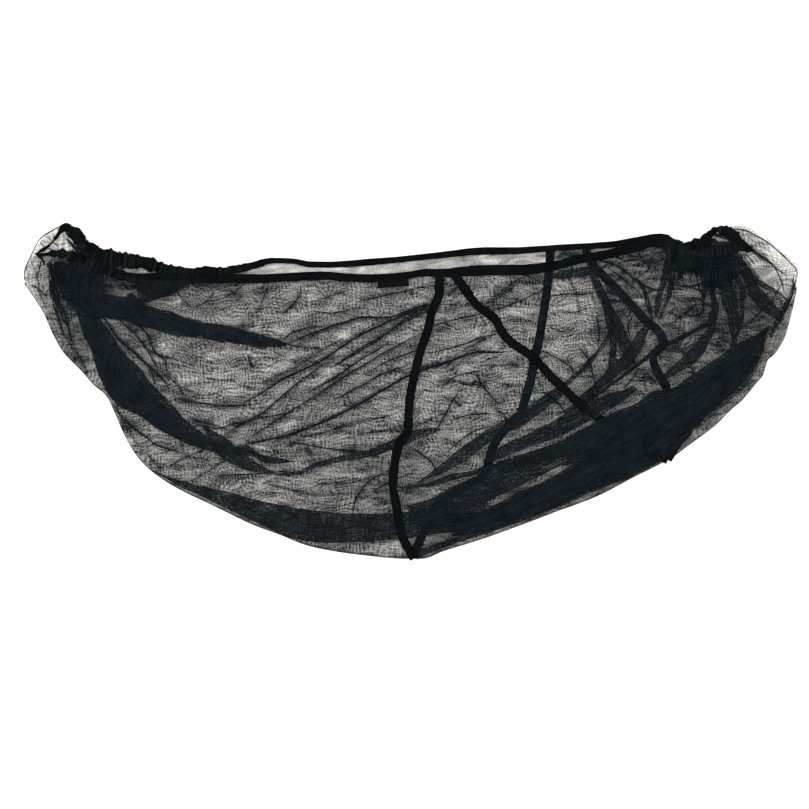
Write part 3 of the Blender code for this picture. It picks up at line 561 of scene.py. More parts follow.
PANELS = ("foot", "gusset", "head")
PANEL_SEAMS = {"foot": (None, "foot"), "gusset": ("foot", "head"), "head": ("head", None)}
PANEL_WIDTH = {"foot": 560.0, "gusset": 210.0, "head": 300.0}  # for the number of rows in each grid
LAYER_DEPTH = 370.0  # from the fold to the mouth, for the number of columns
SEAM_GAP = 1.0  # between a panel's edge and the middle of the tape that covers it
SEAM_ROWS = 170  # points along a tape on each side
TAPE_STITCH_INSET, BINDING_STITCH_INSET = 1.7, 1.3  # from the edge to the row of stitches

WAVE_PERIOD = 0.314  # length of one rib of the wave texture at a scale of 1

# First seed of each kind of unevenness.
SEED = {
    "front_tremble": 11, "back_tremble": 12, "front_streaks": 5, "back_streaks": 6, "fold_streaks": 31,
    "fold_width": 500, "fold_line": 700, "strand_width": 300, "crease_width": 900, "crease_line": 1200,
    "soft_width": 1400, "gathers": 70, "tape_width": 60, "binding_line": 33, "slow_pace": 21,
    "quick_pace": 57, "swell": 61, "scallop": 5, "wear_and_highlight": 8,
}


def curve(xs, ys):
    """A function of arrays that passes through the points and never swings past them."""
    xs, ys = np.asarray(xs, float), np.asarray(ys, float)
    steps = np.diff(ys) / np.diff(xs)
    slopes = np.empty_like(ys)
    slopes[0], slopes[-1] = steps[0], steps[-1]
    before, after = steps[:-1], steps[1:]
    same = before * after > 0
    slopes[1:-1] = np.where(same, 2 * before * after / np.where(same, before + after, 1.0), 0.0)

    def value(x):
        x = np.clip(x, xs[0], xs[-1])
        i = np.clip(np.searchsorted(xs, x, side="right") - 1, 0, len(xs) - 2)
        wide = xs[i + 1] - xs[i]
        t = (x - xs[i]) / wide
        ends = ys[i] * (1 + 2 * t) * (1 - t) ** 2 + ys[i + 1] * (3 - 2 * t) * t * t
        return ends + wide * t * (1 - t) * (slopes[i] * (1 - t) - slopes[i + 1] * t)

    return value


def columns(rows, names):
    """One curve over the first column for each other column of a table."""
    data = np.array(rows, float)
    return {name: curve(data[:, 0], data[:, i]) for i, name in enumerate(names) if i}


def seam_curve(points):
    """x of a seam at a share of its way from the fold to the mouth."""
    x, y = np.array(points, float).T
    return curve((y - y[0]) / (y[-1] - y[0]), x)


OUTLINE = columns(SECTIONS, SECTION_COLUMNS)
SEAM_X = {name: seam_curve(points) for name, points in SEAMS.items()}


# ---------------------------------------------------------------- lines and edges


def ramp(value, start, end):
    """0 at start to 1 at end, level at both."""
    t = np.clip((np.asarray(value, float) - start) / (end - start), 0.0, 1.0)
    return t * t * (3 - 2 * t)


def route(points, spacing):
    """Evenly spaced rows along a table of points, smooth in every column."""
    rows = np.array(points, float)
    run = np.concatenate(([0.0], np.cumsum(np.hypot(*np.diff(rows[:, :2], axis=0).T))))
    at = np.linspace(0, run[-1], max(int(run[-1] / spacing), 3) + 1)
    return at, np.column_stack([curve(run, rows[:, i])(at) for i in range(rows.shape[1])])


def run_along(line):
    """Distance of each point of a line from its first, along it."""
    return np.concatenate(([0.0], np.cumsum(np.linalg.norm(np.diff(line, axis=0), axis=1))))


def run_around(points):
    """Distance round each row's ring of points, from its first point back to it."""
    ring = np.concatenate((points, points[:, :1]), axis=1)
    steps = np.cumsum(np.linalg.norm(np.diff(ring, axis=1), axis=2), axis=1)
    return np.concatenate((np.zeros((len(ring), 1)), steps), axis=1)


def normals(ways):
    """Unit normals, to the left of each direction."""
    ways = ways / np.maximum(np.linalg.norm(ways, axis=1), 1e-6)[:, None]
    return np.column_stack((-ways[:, 1], ways[:, 0]))


def edges_of(line, widths):
    """Two edges either side of a line of points."""
    offset = normals(np.gradient(line, axis=0)) * (widths[:, None] / 2)
    return line - offset, line + offset


def between(low, high, share):
    """Plan points at shares of the way from one edge to the other, row by row."""
    share = share[None, :, None]
    return low[:, None] * (1 - share) + high[:, None] * share


def turned(along, across, degrees):
    """Cloth coordinates of places whose threads are turned by an angle."""
    turn = math.radians(degrees)
    return (along * math.cos(turn) - across * math.sin(turn),
            along * math.sin(turn) + across * math.cos(turn))


def near_points(x, y, points, reach):
    """Distance of each place to a line of points, and its share of the way along it."""
    best = np.full(x.shape, 1e9)
    share = np.zeros(x.shape)
    low, high = points.min(axis=0) - reach, points.max(axis=0) + reach
    near = (x > low[0]) & (x < high[0]) & (y > low[1]) & (y < high[1])
    px, py = x[near], y[near]
    found, along = best[near], share[near]
    for i, (a, b) in enumerate(zip(points, points[1:])):
        way = b - a
        t = np.clip(((px - a[0]) * way[0] + (py - a[1]) * way[1]) / max(way @ way, 1e-9), 0, 1)
        gap = np.hypot(px - a[0] - way[0] * t, py - a[1] - way[1] * t)
        closer = gap < found
        found, along = np.where(closer, gap, found), np.where(closer, (i + t) / (len(points) - 1), along)
    best[near], share[near] = found, along
    return best, share


def to_mouth(side, x_low, x_high, share):
    """y that share of the way from the fold to the mouth, on a line between two x."""
    low, high = OUTLINE["fold"](x_low), OUTLINE[side](x_high)
    return low + (high - low) * share


def seam_points(seam, side, count=60):
    """Plan points of a seam from the fold to the mouth."""
    share = np.linspace(0, 1, count)
    x = SEAM_X[f"{seam}_{side}"](share)
    return np.column_stack((x, to_mouth(side, x[0], x[-1], share)))


# ---------------------------------------------------------------- unevenness


def unevenness(count, seed, spread, calm=6):
    """Smooth random values around 0, one for each row."""
    source = np.random.default_rng(seed)
    values = source.normal(0, 1, count + 4 * calm)
    kernel = np.hanning(2 * calm + 1)
    values = np.convolve(values, kernel / np.sqrt((kernel**2).sum()), mode="same")
    return values[2 * calm: 2 * calm + count] * spread


def sway(count, seeds, spread, calm=6):
    """Smooth random steps aside in x and y, one for each row."""
    return np.column_stack([unevenness(count, seed, spread, calm) for seed in seeds])


def wave(x, y, way, wavelength, phase):
    """A sine wave that runs across the table along a direction in radians."""
    return np.sin(2 * np.pi * (x * np.cos(way) + y * np.sin(way)) / wavelength + phase)


def patch(x, y, px, py, wide, high):
    """1 at a place and fading softly to 0 round it."""
    return np.exp(-(((x - px) / wide) ** 2 + ((y - py) / high) ** 2))


def tremble(x, y, seed):
    """Two smooth random fields about 1 in size, with waves of 14 to 45 mm."""
    source = np.random.default_rng(seed)
    fields = np.zeros((2,) + x.shape)
    for field in fields:
        for _ in range(9):
            wavelength = source.uniform(14, 45)
            way = source.uniform(0, np.pi)
            field += TREMBLE * wavelength / 30 * wave(x, y, way, wavelength, source.uniform(0, 6.3))
    return fields


def streaks(x, y, seed):
    """Light and dark streaks along the way the cloth is drawn, from -1 to 1."""
    source = np.random.default_rng(seed)
    field = np.zeros_like(x)
    for _ in range(14):
        wavelength = source.uniform(12, 46)
        way = math.radians(source.normal(122, 24))
        field += source.uniform(0.4, 1) * wave(x, y, way, wavelength, source.uniform(0, 6.3))
    return field / 3.2


# ---------------------------------------------------------------- how the two layers lie


def puff(x, y):
    """The loose net past the gathers stands off the table."""
    ear = np.maximum(1 - ramp(x, -490, -420), ramp(x, 420, 490))
    tip = ramp(x, -502, -480) * (1 - ramp(x, 492, 512))
    fold, top = OUTLINE["fold"](x), OUTLINE["back"](x) + 20
    across = np.clip((y - fold) / (top - fold), 0, 1)
    return PUFF * ear * tip * np.sin(np.pi * across)


def gathered(x):
    """1 where elastic gathers the mouth, 0 along its flat middle."""
    return np.maximum(1 - ramp(x, *FOOT_ELASTIC), ramp(x, *HEAD_ELASTIC))


def crease_field(x, y):
    """Height and crowding that the creases give the upper layer around them."""
    height, crowd = np.zeros_like(x), np.zeros_like(x)
    for plies, width, points in CREASES:
        line = route([point[:2] for point in points], 6.0)[1]
        gap, share = near_points(x, y, line, reach=22.0)
        taper = np.sin(np.pi * share) ** 0.7
        height += (0.5 + 0.6 * plies) * taper * np.exp(-((gap / 4.5) ** 2))
        crowd += CREASE_SHADE * plies * taper * np.exp(-((gap / (3.5 + 0.5 * width)) ** 2))
    return height, crowd


def relief(x, y):
    """Soft ridges of the upper layer under its creases, and slow waves between them."""
    waves = 0.9 * (1 + np.sin(x / 41.0 + y / 57.0)) + 0.5 * (1 + np.sin(x / 23.0 - y / 31.0 + 1.7))
    return waves + crease_field(x, y)[0]


def layer_height(x, y, side):
    """Height of a layer of net away from its laid folds."""
    fold, edge = OUTLINE["fold"](x), OUTLINE[side](x)
    near_mouth = 1 - ramp(edge - y, 0, 26)
    rim = RIM[side] + RIM_RISE * gathered(x)
    if side == "back":
        base = BACK_LAYER + 0.4 * puff(x, y)
    else:
        base = FRONT_LAYER + puff(x, y) + relief(x, y) * ramp(y - fold, 0, 30)
    return base + (np.maximum(rim, base) - base) * near_mouth


def drift(x, y, side):
    """Cloth coordinates in millimetres of a place on a layer: the threads run along them."""
    u, v = x.copy(), y.copy()
    for size, wavelength, heading, phase, pushed in DRIFTS[side]:
        push = size * wave(x, y, math.radians(heading), wavelength, phase)
        u += push * math.cos(math.radians(pushed))
        v += push * math.sin(math.radians(pushed))
    shake = tremble(x, y, SEED[f"{side}_tremble"])
    *place, fade = CALM_PATCH
    loose = 1 - fade * patch(x, y, *place)
    heading, along, across = WEAVE[side]
    u, v = turned(u + shake[0] * loose, v + shake[1] * loose, heading)
    return np.stack((u * along, v * across), -1)


def between_rims(x, y):
    """1 where one layer shows bare between the two rims of the mouth, and 0 elsewhere."""
    return ramp(y - OUTLINE["front"](x), 0, 5) * (1 - gathered(x))


def crowding(x, y, side):
    """How much wider than usual the threads lie, as a factor on their width."""
    amount = 1 + STREAKS[side] * streaks(x, y, SEED[f"{side}_streaks"])
    for *place, more in CROWDING[side]:
        amount += more * patch(x, y, *place)
    if side == "front":
        amount += crease_field(x, y)[1]
    if side == "back":
        amount += MOUTH_OPENNESS * between_rims(x, y)
    return np.clip(amount, 0.4, 2.6)


# ---------------------------------------------------------------- piling up cloth


class Pile:
    """The height reached so far over every place, so that folds are laid on each other."""

    CELL = 2.0

    def __init__(self):
        self.left, self.bottom = -520.0, -240.0
        xs = np.arange(self.left, 530, self.CELL)
        ys = np.arange(self.bottom, 240, self.CELL)
        x, y = np.meshgrid(xs, ys, indexing="ij")
        self.top = layer_height(x, y, "front")

    def cells(self, x, y):
        """Indices of the cell under each place."""
        i = np.clip(((x - self.left) / self.CELL).round().astype(int), 1, self.top.shape[0] - 2)
        j = np.clip(((y - self.bottom) / self.CELL).round().astype(int), 1, self.top.shape[1] - 2)
        return i, j

    def at(self, x, y):
        """Highest of the cells around each place."""
        i, j = self.cells(x, y)
        around = [self.top[i + a, j + b] for a in (-1, 0, 1) for b in (-1, 0, 1)]
        return np.max(around, axis=0)

    def lay(self, x, y, z):
        """Raises the pile to what is laid on it."""
        i, j = self.cells(x, y)
        np.maximum.at(self.top, (i, j), z)

    def height_for(self, x, y, lift, calm=3):
        """Heights of a strip laid here, rows along it: it clears all below it and bends gently."""
        z = self.at(x, y)
        for _ in range(calm):
            padded = np.pad(z, ((1, 1), (0, 0)), mode="edge")
            z = np.maximum(z, (padded[:-2] + padded[1:-1] + padded[2:]) / 3)
        for _ in range(calm):
            padded = np.pad(z, ((1, 1), (0, 0)), mode="edge")
            z = np.maximum(z - 0.15, (padded[:-2] + 2 * padded[1:-1] + padded[2:]) / 4)
        return z + lift


STATE = {}


def shared_pile():
    """The one pile on which all the operators lay their pieces."""
    if "pile" not in STATE:
        STATE["pile"] = Pile()
    return STATE["pile"]


def linked(name, data):
    """A new object in the scene."""
    made = bpy.data.objects.new(name, data)
    bpy.context.scene.collection.objects.link(made)
    return made


class Cloth:
    """Grids of points gathered into one mesh with cloth coordinates and crowding."""

    def __init__(self):
        self.points, self.faces, self.uv, self.crowd, self.count = [], [], [], [], 0

    def grid(self, points, uv, crowd, closed=False, flip=False):
        """points by row and column; closed joins the last column to the first, and uv has one more."""
        rows, cols = points.shape[:2]
        index = np.arange(rows * cols).reshape(rows, cols) + self.count
        wrapped = np.concatenate((index, index[:, :1]), axis=1) if closed else index
        a, b = wrapped[:-1, :-1], wrapped[1:, :-1]
        c, d = wrapped[1:, 1:], wrapped[:-1, 1:]
        quads = np.stack((a, b, c, d), -1).reshape(-1, 4)
        corners = np.stack((uv[:-1, :-1], uv[1:, :-1], uv[1:, 1:], uv[:-1, 1:]), -2).reshape(-1, 4, 2)
        if flip:
            quads, corners = quads[:, ::-1], corners[:, ::-1]
        self.points.append(points.reshape(-1, 3))
        self.faces.append(quads)
        self.uv.append(corners.reshape(-1, 2))
        self.crowd.append(np.broadcast_to(crowd, (rows, cols)).reshape(-1))
        self.count += rows * cols

    def cap(self, start, size, flip):
        """Closes one end of a tube, whose ring of points starts at an index."""
        low = np.arange(size // 2 - 1)
        high = size - 1 - low
        quads = start + np.stack((low, low + 1, high - 1, high), -1)
        self.faces.append(quads[:, ::-1] if flip else quads)
        self.uv.append(np.zeros((quads.size, 2)))

    def tube(self, points, uv, crowd):
        """A ring of points for each row, closed at both ends."""
        start, (rows, size) = self.count, points.shape[:2]
        self.grid(points, uv, crowd, closed=True)
        self.cap(start, size, True)
        self.cap(start + (rows - 1) * size, size, False)

    def mesh_object(self, name, material):
        """One object of all the grids, in metres from the frame's origin."""
        points = np.concatenate(self.points)
        crinkled = 1 - PULLED_FLAT * between_rims(points[:, 0], points[:, 1])
        mesh = bpy.data.meshes.new(name)
        mesh.from_pydata((points - (MIDDLE_X, MIDDLE_Y, 0.0)) * MM, [], np.concatenate(self.faces))
        uv = mesh.uv_layers.new(name="cloth")
        uv.data.foreach_set("uv", (np.concatenate(self.uv) * MM).ravel())
        for key, values in (("crowd", np.concatenate(self.crowd)), ("crinkled", crinkled)):
            layer = mesh.attributes.new(key, "FLOAT", "POINT")
            layer.data.foreach_set("value", values.astype(np.float32))
        mesh.materials.append(material)
        mesh.polygons.foreach_set("use_smooth", np.ones(len(mesh.polygons), bool))
        mesh.update()
        return linked(name, mesh)


# ---------------------------------------------------------------- net panels


def panel_x(panel, side, across, share):
    """x at a share of the width of a panel, on a side, at a share of the way to the mouth."""
    first, last = PANEL_SEAMS[panel]
    left = SEAM_X[f"{first}_{side}"](share) + SEAM_GAP if first else FOOT_END
    right = SEAM_X[f"{last}_{side}"](share) - SEAM_GAP if last else HEAD_END
    return left + (right - left) * across


def panel_sheet(cloth, panel, spacing):
    """The panel's own cloth: from the back of the mouth, round the fold, to the front of the mouth."""
    rows = int(PANEL_WIDTH[panel] / spacing)
    cols = int(LAYER_DEPTH / spacing)
    across = np.linspace(0, 1, rows + 1)[:, None]
    sides = []
    for side in ("back", "front"):
        share = np.linspace(0, 1, cols)[None, :]
        x = panel_x(panel, side, across, share)
        ends = panel_x(panel, side, across, np.array([[0.0, 1.0]]))
        y = to_mouth(side, ends[:, :1], ends[:, 1:], share)
        z = layer_height(x, y, side)
        if side == "back":
            # this layer rises a little where it lies on the tapes
            for seam in ("foot", "head"):
                gap = near_points(x, y, seam_points(seam, "back"), reach=14.0)[0]
                z += 1.1 * (1 - ramp(gap, 6, 11))
        sides.append((np.stack((x, y, z), -1), drift(x, y, side), crowding(x, y, side)))
    (back, back_uv, back_crowd), (front, front_uv, front_crowd) = sides
    # the two layers meet in a small round turn at the fold
    back[:, 0, 1] += 1.2
    front[:, 0, 1] += 1.2
    turn = (back[:, 0] + front[:, 0]) / 2
    turn[:, 1] -= 1.6
    points = np.concatenate((back[:, ::-1], turn[:, None], front), axis=1)
    uv = np.concatenate((back_uv[:, ::-1], back_uv[:, :1] - (0, 1.5), front_uv), axis=1)
    crowd = np.concatenate((back_crowd[:, ::-1], front_crowd[:, :1] + 1.0, front_crowd), axis=1)
    crowd[:, [cols - 1, cols + 1]] += 0.5
    cloth.grid(points, uv, crowd, flip=True)


def panel_at(x, y):
    """Index of the panel that a place of the upper layer belongs to."""
    index = np.zeros(x.shape, int)
    for seam in ("foot", "head"):
        line = seam_points(seam, "front")
        index += x > np.interp(y, line[:, 1], line[:, 0])
    return index


def rounded_section(count, sharp=0.4):
    """Flattened ring: across from -1 to 1 and height from -1 to 1, lower ply first."""
    angle = np.linspace(0, 2 * np.pi, count, endpoint=False) + np.pi
    across = np.sign(np.cos(angle)) * np.abs(np.cos(angle)) ** sharp
    return across, np.sin(angle)


def folded_ply(cloth, low_edge, high_edge, heights, heading, crowd, slide):
    """A flattened fold between two edges, as rows of rings."""
    across, up = rounded_section(heights.shape[1])
    plan = between(low_edge, high_edge, (across + 1) / 2)
    z = heights + PLY_GAP / 2 + PLY_GAP / 2 * up[None, :]
    points = np.concatenate((plan, z[..., None]), axis=2)
    along = run_along((low_edge + high_edge) / 2)
    u, v = turned(along[:, None], run_around(points) * DRAWN_IN, heading)
    edge = 1 + 0.5 * np.abs(across) ** 12
    uneven = 1 + 0.22 * streaks(points[..., 0], points[..., 1], SEED["fold_streaks"] + int(abs(slide)) % 5)
    cloth.tube(points, np.stack((u + slide, v + slide * 0.37), -1), crowd * uneven * edge[None, :])


def single_ply(cloth, low_edge, high_edge, heights, heading, crowd, slide):
    """A single extra ply, where the cloth is drawn into a soft ridge."""
    across = np.linspace(0, 1, heights.shape[1])
    plan = between(low_edge, high_edge, across)
    z = heights + 0.8 * np.sin(np.pi * across)
    along = run_along((low_edge + high_edge) / 2)
    width = np.linalg.norm(high_edge - low_edge, axis=1)[:, None] * across * DRAWN_IN
    u, v = turned(along[:, None], width, heading)
    cloth.grid(np.concatenate((plan, z[..., None]), axis=2), np.stack((u + slide, v), -1), crowd)


def lay_fold(cloths, pile, edges, plies, kind, number, layer=0):
    """Lays a folded strip on the pile and gives each panel its own stretch of it."""
    laid = LAID[kind]
    low_edge, high_edge = edges
    middle = (low_edge + high_edge) / 2
    width = np.linalg.norm(high_edge - low_edge, axis=1)
    # a ring has a point for every 3 mm of each ply, but not too few and not too many
    count = 2 * int(np.clip(width.max() / 3.0, 3, 12)) + 2
    if plies == 1:
        make, share = single_ply, np.linspace(0, 1, max(count // 2, 4))
    else:
        make, share = folded_ply, (rounded_section(count)[0] + 1) / 2
    plan = between(low_edge, high_edge, share)
    heights = pile.height_for(plan[..., 0], plan[..., 1], LAID_ON)
    heights = np.maximum(heights, heights.max(axis=1, keepdims=True) - 1.2)
    owner = panel_at(middle[:, 0], middle[:, 1])
    start = 0
    for i in range(1, len(middle) + 1):
        if i < len(middle) and owner[i] == owner[start]:
            continue
        part = slice(start, min(i + 1, len(middle)))
        if part.stop - start > 2:
            make(cloths[PANELS[owner[start]]], low_edge[part], high_edge[part], heights[part],
                 laid.turn + laid.layer_turn * layer, laid.crowd, laid.slide * number)
        start = i
    pile.lay(plan[..., 0], plan[..., 1], heights + (PLY_GAP if plies > 1 else 0.3))


def lay_bands(cloths, pile):
    """Wide folds laid flat between two edges."""
    count = 90
    for number, (folds, first, second) in enumerate(BANDS):
        for layer in range(folds):
            edges = []
            for k, edge in enumerate((second, first)):
                line = route(edge, 1.0)[1]
                line = line[np.linspace(0, len(line) - 1, count).round().astype(int)]
                aside = unevenness(count, 40 * number + 10 * layer + k, 0.7)
                edges.append(line + np.column_stack((aside * 0.4, aside)) + (0, -1.5 * layer * (1 - 2 * k)))
            lay_fold(cloths, pile, edges, 2, "band", number, layer)


def lay_narrow_folds(cloths, pile):
    """Narrower folds, and the strands beside the elastic."""
    for number, (folds, points) in enumerate(FOLDS):
        for layer in range(folds):
            rows = route(points, 3.0)[1]
            width = rows[:, 2] * (1 + unevenness(len(rows), SEED["fold_width"] + number + 31 * layer, 0.08))
            seed = SEED["fold_line"] + number
            line = rows[:, :2] + sway(len(rows), (seed, seed + 1), 0.4)
            edges = edges_of(line, np.maximum(width - 0.8 * layer, 0.5))
            lay_fold(cloths, pile, edges, 2, "fold", number, layer)
    for number, points in enumerate(STRANDS):
        rows = route(points, 2.0)[1]
        width = rows[:, 2] * (1 + unevenness(len(rows), SEED["strand_width"] + number, 0.15, 3))
        lay_fold(cloths, pile, edges_of(rows[:, :2], width), 2, "strand", number)


def gather_pleats():
    """Small pleats that fan out from the elastic, as rows like those of the creases."""
    pleats = []
    for number, (count, plies, width, starts, ends) in enumerate(GATHERS):
        source = np.random.default_rng(SEED["gathers"] + number)
        lines = [route(points, 1.0)[1] for points in (starts, ends)]
        for i in range(count):
            at = np.clip((i + source.uniform(0.2, 0.8)) / count, 0, 1)
            start, end = (line[int(at * (len(line) - 1))] for line in lines)
            reach = source.uniform(0.55, 1.0)
            end = start + (end - start) * reach
            bow = np.array((start[1] - end[1], end[0] - start[0])) * source.uniform(-0.12, 0.12)
            pleats.append((plies, width * source.uniform(0.7, 1.3),
                           (tuple(start), tuple((start * 0.6 + end * 0.4) + bow), tuple(end))))
    return tuple(pleats)


def lay_creases(cloths, pile):
    """Creases and gathers, which taper to nothing, some with a soft single ply beside them."""
    for number, (plies, wide, points) in enumerate(CREASES + gather_pleats()):
        rows = route(points, 2.0)[1]
        count = len(rows)
        share = np.linspace(0, 1, count)
        taper = np.clip(7 * np.minimum(share, 1 - share), 0, 1) ** 0.7
        uneven = 1 + unevenness(count, SEED["crease_width"] + number, 0.1)
        width = wide * (0.8 if plies > 1 else 1.0) * taper * uneven
        seed = SEED["crease_line"] + number
        line = rows[:, :2] + sway(count, (seed, seed + 100), 0.3, 9)
        edges = edges_of(line, np.maximum(width, 0.35))
        lay_fold(cloths, pile, edges, plies, "sharp_crease" if plies > 1 else "soft_crease", number)
        if plies > 1 and count > SOFT_FROM:
            soft = SOFT_WIDTH * taper * (1 + unevenness(count, SEED["soft_width"] + number, 0.12, 8))
            aside = np.column_stack((np.zeros(count), (0.5 - number % 2) * 0.8 * soft))
            edges = edges_of(line + aside, np.maximum(soft, 0.35))
            lay_fold(cloths, pile, edges, 1, "beside_crease", number)


# ---------------------------------------------------------------- materials


def colour(hex_value):
    """sRGB hex to linear RGBA."""
    parts = [int(hex_value[i : i + 2], 16) / 255 for i in (1, 3, 5)]
    return tuple(c / 12.92 if c <= 0.04045 else ((c + 0.055) / 1.055) ** 2.4 for c in parts) + (1.0,)


def add(tree, kind, inputs=None, **settings):
    """Adds a node, sets its properties, and sets or links its inputs by name or number."""
    node = tree.nodes.new(kind)
    for name, value in settings.items():
        setattr(node, name, value)
    for key, value in (inputs or {}).items():
        socket = node.inputs[key]
        if isinstance(value, bpy.types.NodeSocket):
            tree.links.new(value, socket)
        else:
            socket.default_value = value
    return node


def new_material(name):
    """An empty material and its node tree."""
    material = bpy.data.materials.new(name)
    material.use_nodes = True
    material.node_tree.nodes.clear()
    return material, material.node_tree


def combine(tree, operation, *values):
    """Output of a Math node on numbers and other outputs."""
    return add(tree, "ShaderNodeMath", dict(enumerate(values)), operation=operation).outputs[0]


def scaled(tree, vector, factor):
    """Output of a vector multiplied by one number."""
    return add(tree, "ShaderNodeVectorMath", {0: vector, 1: (factor,) * 3}, operation="MULTIPLY").outputs[0]


def cosines(tree, vector, pitch):
    """Cosine waves along both ways of the cloth, one wave to a pitch."""
    ways = add(tree, "ShaderNodeSeparateXYZ", {0: scaled(tree, vector, 2 * math.pi / pitch)})
    return [combine(tree, "COSINE", ways.outputs[i]) for i in (0, 1)]


def mapped(tree, value, low, high, to_low, to_high):
    """Output of a value carried from one range to another and held at its ends."""
    return add(tree, "ShaderNodeMapRange", {0: value, 1: low, 2: high, 3: to_low, 4: to_high}).outputs[0]


def noise(tree, vector, scale, detail, **more):
    """A noise texture's node."""
    return add(tree, "ShaderNodeTexNoise", {"Vector": vector, "Scale": scale, "Detail": detail, **more})


def attribute(tree, name):
    """Output of a number that the mesh carries at its points."""
    return add(tree, "ShaderNodeAttribute", attribute_name=name).outputs["Fac"]


def dyed(tree, value, dark, light, start=0.0, end=1.0):
    """Output of a colour ramp between two colours."""
    node = add(tree, "ShaderNodeValToRGB", {0: value})
    for element, place, tone in zip(node.color_ramp.elements, (start, end), (dark, light)):
        element.position, element.color = place, tone
    return node.outputs[0]


def shades(tint, *factors):
    """A colour made darker or lighter by factors, as RGBA."""
    return [tuple(c * factor for c in tint) + (1.0,) for factor in factors]


def net_material(settings):
    """Polyester net, warp-knitted and dyed black: thin matt threads round clear square holes."""
    material, tree = new_material("polyester_net_warp_knitted_black")
    cloth = add(tree, "ShaderNodeUVMap", uv_map="cloth").outputs[0]
    crowd, loose = attribute(tree, "crowd"), attribute(tree, "crinkled")
    # the threads thicken a little where they are knitted together
    yarn = combine(tree, "SMOOTH_MAX", *cosines(tree, cloth, settings.pitch), 0.12)
    # the net is drawn tight in fine streaks, 4 to 8 mm wide and several times as long
    drawn = add(tree, "ShaderNodeMapping", {"Vector": cloth, "Rotation": (0.0, 0.0, -0.5),
                                            "Scale": (26.0, 120.0, 1.0)}).outputs[0]
    streak = noise(tree, drawn, 1.0, 3.0, Roughness=0.6, Distortion=0.9).outputs[0]
    width = mapped(tree, streak, 0.3, 0.7, 1 - settings.streak, 1 + settings.streak)
    # crinkles show as a grid of paler dots that runs into a grain where the cloth has slid
    bent = scaled(tree, noise(tree, cloth, 22.0, 1.0).outputs["Color"], settings.slide)
    laid = add(tree, "ShaderNodeVectorMath", {0: cloth, 1: bent}, operation="ADD").outputs[0]
    dots = combine(tree, "ADD", *cosines(tree, laid, settings.crinkle))
    # they are pressed out where the net is crowded into folds, and pulled out between the rims
    pressed = combine(tree, "MULTIPLY", mapped(tree, crowd, 1.0, 1.25, -settings.crinkling / 2, 0.0), loose)
    crinkled = combine(tree, "MULTIPLY_ADD", dots, pressed, 1.0)
    bunched = combine(tree, "MULTIPLY", crowd, combine(tree, "MULTIPLY", width, crinkled))
    half = combine(tree, "MULTIPLY", bunched, math.pi * settings.thread / settings.pitch)
    solid = combine(tree, "GREATER_THAN", yarn, combine(tree, "COSINE", half))
    place = add(tree, "ShaderNodeTexCoord").outputs["Object"]
    mottle = noise(tree, place, 60.0, 2.0).outputs[0]
    # lint and stretched yarn leave the black slightly greyer in short streaks
    faded = add(tree, "ShaderNodeMix", {0: 0.35, 2: streak, 3: mottle}).outputs[0]
    thread = add(tree, "ShaderNodeBsdfPrincipled", {
        "Base Color": dyed(tree, faded, *shades(settings.colour, 0.5, 3.4), 0.32, 0.68),
        "Roughness": mapped(tree, mottle, 0.0, 1.0, 0.55, 0.75), "Specular IOR Level": 0.02, "IOR": 1.5})
    hole = add(tree, "ShaderNodeBsdfTransparent")
    mix = add(tree, "ShaderNodeMixShader", {0: solid, 1: hole.outputs[0], 2: thread.outputs[0]})
    add(tree, "ShaderNodeOutputMaterial", {0: mix.outputs[0]})
    return material


def ribbed_material(name, tint, worn_and_highlight, rib, rough, bump):
    """Black woven trim: ribs across it, a little lint, paler patches at random, and painted highlights on
    ridge tops given by the crowd attribute.
    """
    material, tree = new_material(name)
    cloth = add(tree, "ShaderNodeUVMap", uv_map="cloth").outputs[0]
    ribs = add(tree, "ShaderNodeTexWave", {"Vector": cloth, "Scale": WAVE_PERIOD / rib, "Distortion": 0.4,
                                            "Detail": 1.0}, wave_type="BANDS", bands_direction="X")
    ribs = ribs.outputs["Fac"]
    place = add(tree, "ShaderNodeTexCoord").outputs["Object"]
    lint = noise(tree, place, 220.0, 3.0).outputs[0]
    wear_and_highlight = noise(tree, place, 28.0, 2.0).outputs[0]
    shade = combine(tree, "MULTIPLY", wear_and_highlight, combine(tree, "MULTIPLY_ADD", ribs, 0.55, 0.1))
    # painted highlight: gathered ridge tops are made paler by the square of the crowd attribute
    ridge = attribute(tree, "crowd")
    shade = combine(tree, "MULTIPLY", shade, combine(tree, "MULTIPLY", ridge, ridge))
    raised = add(tree, "ShaderNodeBump", {"Height": combine(tree, "ADD", ribs, lint), "Strength": 0.6,
                                          "Distance": bump})
    shader = add(tree, "ShaderNodeBsdfPrincipled", {
        # the paler colour is both the trim's random paler patches and the painted highlight on ridge tops
        "Base Color": dyed(tree, shade, colour(tint), colour(worn_and_highlight), 0.16, 0.75),
        "Roughness": mapped(tree, lint, 0.0, 1.0, rough - 0.1, rough + 0.1),
        "Normal": raised.outputs[0], "Specular IOR Level": 0.02})
    add(tree, "ShaderNodeOutputMaterial", {0: shader.outputs[0]})
    return material


def thread_material(name, worn_and_highlight):
    """Black sewing thread."""
    return ribbed_material(name, "#040505", worn_and_highlight, rib=0.0006, rough=0.5, bump=0.0001)


def floor_material(settings):
    """Matt emulsion-painted board, near white."""
    material, tree = new_material("painted_board_matt")
    place = add(tree, "ShaderNodeTexCoord").outputs["Object"]
    grain = noise(tree, place, 9.0, 4.0).outputs[0]
    shader = add(tree, "ShaderNodeBsdfPrincipled", {
        "Base Color": dyed(tree, grain, *shades(settings.floor, 0.98, 1.0)), "Roughness": 0.8,
        "Specular IOR Level": 0.1})
    add(tree, "ShaderNodeOutputMaterial", {0: shader.outputs[0]})
    return material


# ---------------------------------------------------------------- strips of trim


